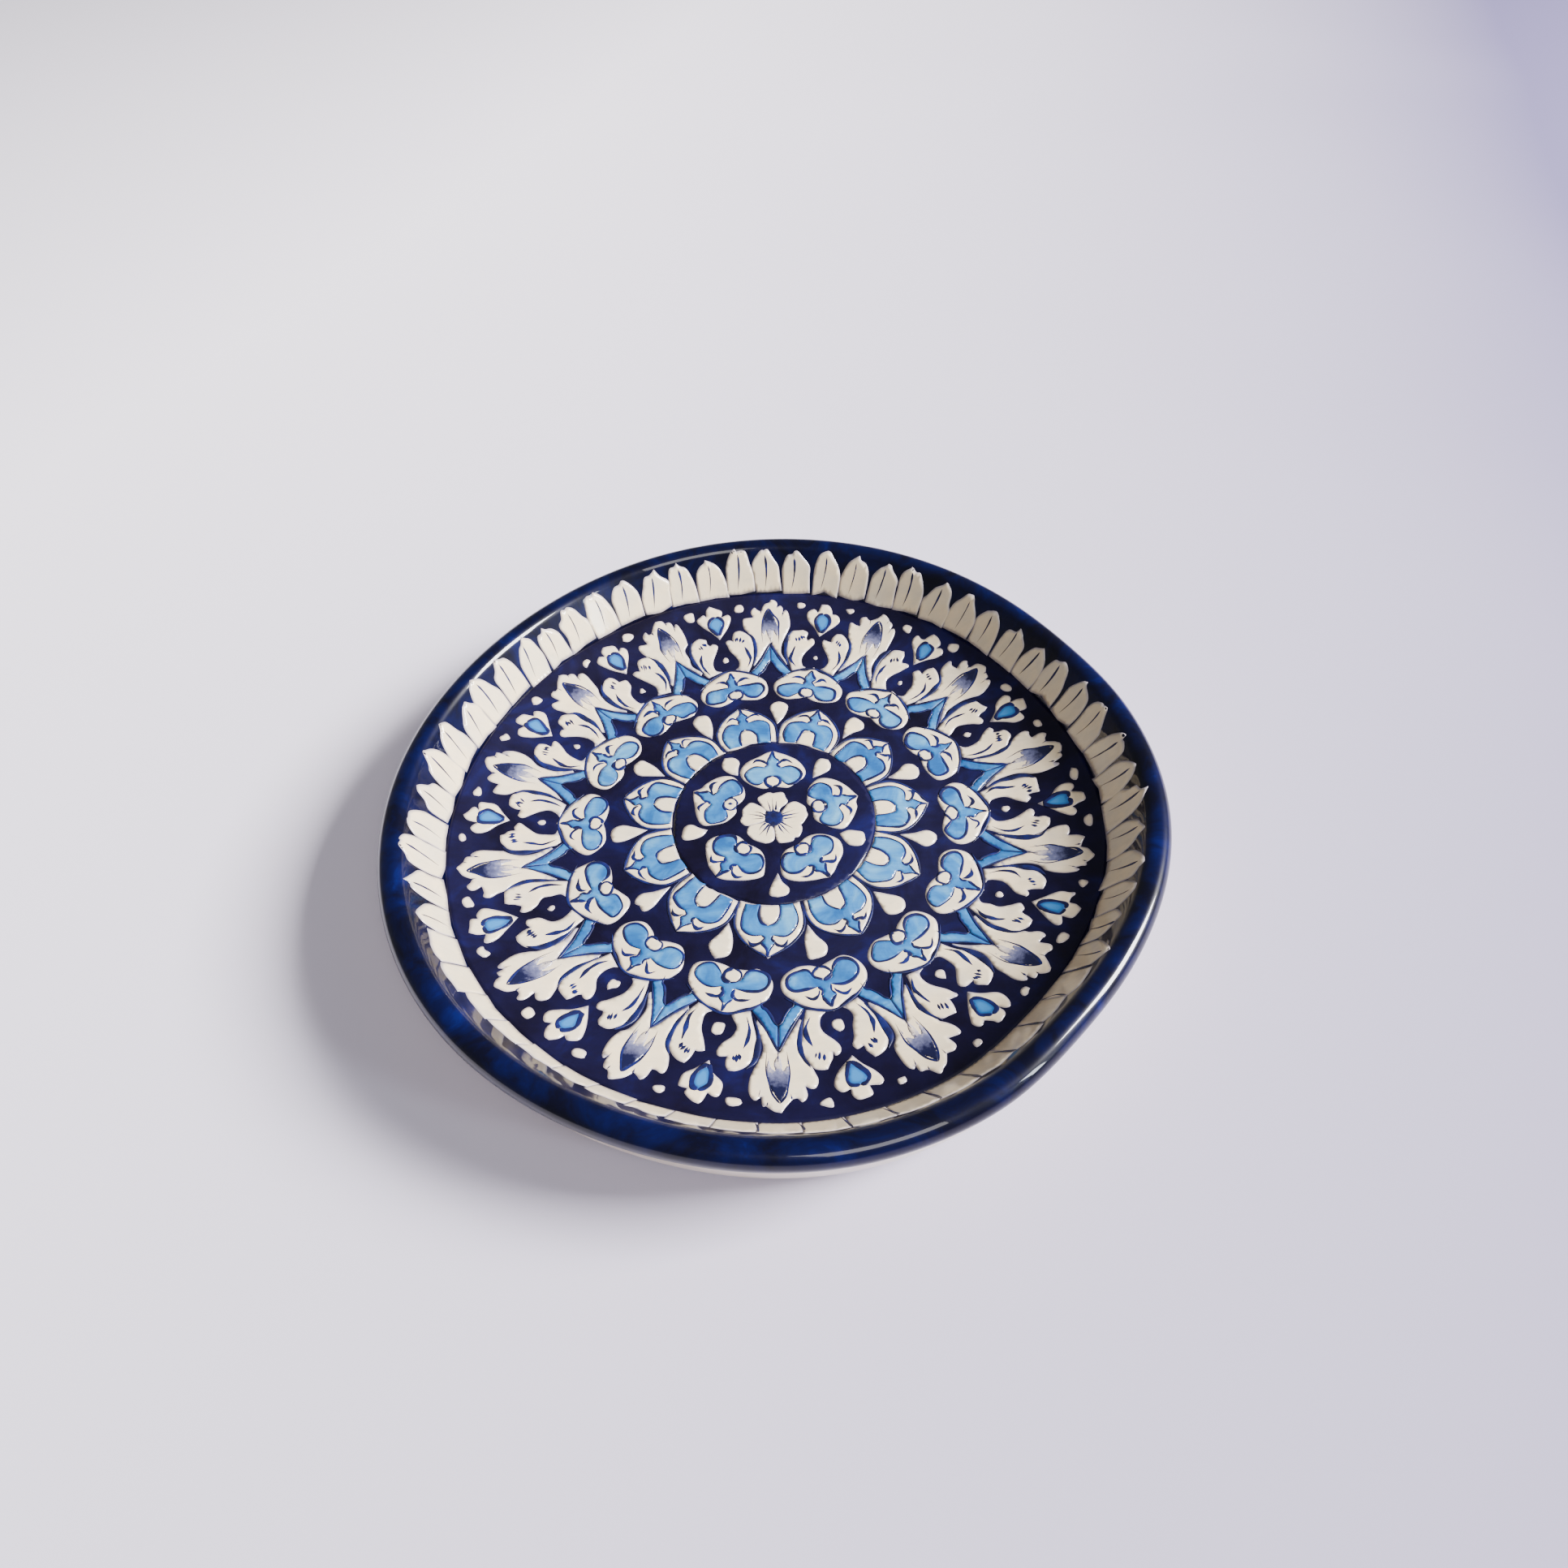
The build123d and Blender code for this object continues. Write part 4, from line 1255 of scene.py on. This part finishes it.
def makeCentre():
    count, first = rings["hearts"]
    rng = random.Random(centre["seed"])
    stray = centre["stray"]
    low = centre["discWash"]
    disc, drops, petals, eye = [Brush() for kind in range(4)]
    loop = roundLoop(centre["discOut"], centre["discStray"], centre["discPoints"], rng)
    blob(disc, loop, 1, 0.0, 0.0, low, soft=centre["discEdge"])
    slip, fills, pearls, ink = brushes = [Brush() for kind in range(4)]
    heartMotif(centre, count, first, brushes, rng, low)
    marked = turns(count, first, centre["heartStrays"])[centre["markedHeart"]]
    ribbon(ink, centre["pearlMark"], count, marked, onMark, centre["markHair"], rng, low)
    for turn in turns(count, first + 180 / count, centre["dropStrays"]):
        drop = shaken(mirrored(centre["drop"]), count, stray * 1.4, rng)
        blob(drops, drop, count, turn, low, heights["ivory"])
    for turn in turns(count, first, centre["petalStrays"]):
        petal = shaken(mirrored(centre["petal"]), count, stray * 1.5, rng)
        blob(petals, petal, count, turn, low, heights["ivory"], step=0.001)
        for vein in centre["veins"]:
            line = shaken([vein], count, stray * 0.8, rng)[0]
            ribbon(ink, line, count, turn, onIvory, centre["veinHair"], rng, low)
    spikes = []
    for index in range(centre["eyeSpikes"] * 2):
        length = centre["spikeLength"] * rng.uniform(0.2, 1.0) if index % 2 else 0.0
        spikes.append((index / centre["eyeSpikes"] - 1, centre["eyeOut"] + length))
    spikes.append((1.0, spikes[0][1]))
    runs = [list(pair) for pair in zip(spikes, spikes[1:])]
    blob(eye, runs, 1, 0.0, low, heights["ivory"] + inkTop, step=0.0008)
    place(disc.finish("centreDisc", wellCobalt), "well_cobalt", "centre_disc")
    place(slip.finish("centreHearts", ivory), "ivory_slip", "centre_hearts")
    place(fills.finish("heartFills", paleBlue), "light_blue", "heart_fills")
    place(pearls.finish("heartPearls", ivory), "ivory_slip", "heart_pearls")
    place(ink.finish("heartLines", navy), "navy_stroke", "heart_fills")
    place(drops.finish("centreDrops", ivory), "ivory_slip", "centre_drops")
    place(petals.finish("flowerPetals", ivory), "ivory_slip", "flower_petals")
    place(eye.finish("flowerEye", navy), "navy_stroke", "flower_eye")


makeCentre()
print("centre painted")

# table, light and camera
studio = {
    "floorSize": 14.0,
    # painted light and shade on the table: its colour is lighter on the left and darker on the right
    "paintedLightTone": tint(250, 244, 255),
    "paintedShadeTone": tint(100, 93, 128),
    "paintedShadeSlope": (0.8, -0.28),   # how fast the painted light and shade on the table run to the right and away
    "paintedShadeMiddle": 0.45,      # the painted shade's level under the plate
    "paintedShadeEnds": (0.06, 0.88),
    "toneCloud": 0.1,
    "worldTone": (0.76, 0.78, 0.90, 1.0),
    "worldPower": 0.29,
    "keyPlace": (2.55, 0.10, 1.85),
    "keySize": (1.1, 1.1),
    "keyPower": 560.0,
    "keyTone": (1.0, 0.985, 0.99),
    "fillPlace": (0.7, -1.6, 2.4),
    "fillSize": (1.2, 1.2),
    "fillPower": 40.0,
    "fillTone": (1.0, 0.97, 0.95),
    "sweepPlace": (1.05, -0.60, 0.55),
    "sweepSize": (0.10, 0.45),
    "sweepPower": 7.0,
    "sweepTone": (0.84, 0.92, 1.0),
}
view = {
    "elevation": 50.79,
    "roll": -1.731,
    "distance": 3.011,       # in radii of the well, like the two shifts below
    "across": -0.0326,
    "up": -0.1093,
    "lens": 21.674,
}


def makeFloor():
    half = studio["floorSize"] / 2
    corners = [(-half, -half, 0), (half, -half, 0), (half, half, 0), (-half, half, 0)]
    material, tree, shader = startMaterial("paleTable", 0.75, 0.0, 0.3)
    coords = tree.nodes.new("ShaderNodeTexCoord")
    axes = tree.nodes.new("ShaderNodeSeparateXYZ")
    tree.links.new(coords.outputs["Object"], axes.inputs["Vector"])
    # painted light and shade: the table is coloured lighter to the left and away from the viewer, darker to
    # the right and towards the viewer
    across, away = studio["paintedShadeSlope"]
    sweep = maths(tree, "ADD", maths(tree, "MULTIPLY", axes.outputs["X"], across), studio["paintedShadeMiddle"])
    sweep = maths(tree, "ADD", sweep, maths(tree, "MULTIPLY", axes.outputs["Y"], away))
    cloud = maths(tree, "ADD", sweep, maths(tree, "MULTIPLY", noise(tree, 1.2, 2.0), studio["toneCloud"]))
    left, right = studio["paintedShadeEnds"]
    colour = ramp(tree, cloud, [(left, studio["paintedLightTone"]), (right, studio["paintedShadeTone"])])
    tree.links.new(colour, shader.inputs["Base Color"])
    floor = makeObject("paleFloor", corners, [[0, 1, 2, 3]], material)


def areaLight(name, key):
    data = bpy.data.lights.new(name, "AREA")
    data.energy = studio[key + "Power"]
    data.color = studio[key + "Tone"]
    data.shape = "RECTANGLE"
    data.size, data.size_y = studio[key + "Size"]
    lamp = bpy.data.objects.new(name, data)
    lamp.location = studio[key + "Place"]
    lamp.rotation_euler = (Vector((0, 0, 0.02)) - lamp.location).to_track_quat("-Z", "Y").to_euler()
    bpy.context.scene.collection.objects.link(lamp)


def makeStudio():
    world = bpy.data.worlds.new("softRoom")
    world.use_nodes = True
    background = world.node_tree.nodes["Background"]
    background.inputs["Color"].default_value = studio["worldTone"]
    background.inputs["Strength"].default_value = studio["worldPower"]
    bpy.context.scene.world = world
    areaLight("keyWindow", "key")
    areaLight("roomFill", "fill")
    areaLight("sideWindow", "sweep")


def makeCamera():
    # the viewer stands on the -Y side and looks down into the well
    tilt = math.radians(view["elevation"])
    roll = math.radians(view["roll"])
    right = Vector((1, 0, 0))
    back = Vector((0, -math.cos(tilt), math.sin(tilt)))
    up = back.cross(right)
    rolledRight = right * math.cos(roll) + up * math.sin(roll)
    rolledUp = up * math.cos(roll) - right * math.sin(roll)
    spot = -(rolledRight * view["across"] + rolledUp * view["up"] - back * view["distance"]) * wellEdge
    spot += Vector((0, 0, floorTop))
    data = bpy.data.cameras.new("viewer")
    data.lens = view["lens"]
    data.sensor_width = 36.0
    data.clip_end = 50.0
    camera = bpy.data.objects.new("viewer", data)
    turned = Matrix((rolledRight, rolledUp, back)).transposed()
    camera.matrix_world = Matrix.Translation(spot) @ turned.to_4x4()
    bpy.context.scene.collection.objects.link(camera)
    bpy.context.scene.camera = camera


makeFloor()
makeStudio()
makeCamera()
print("studio set")
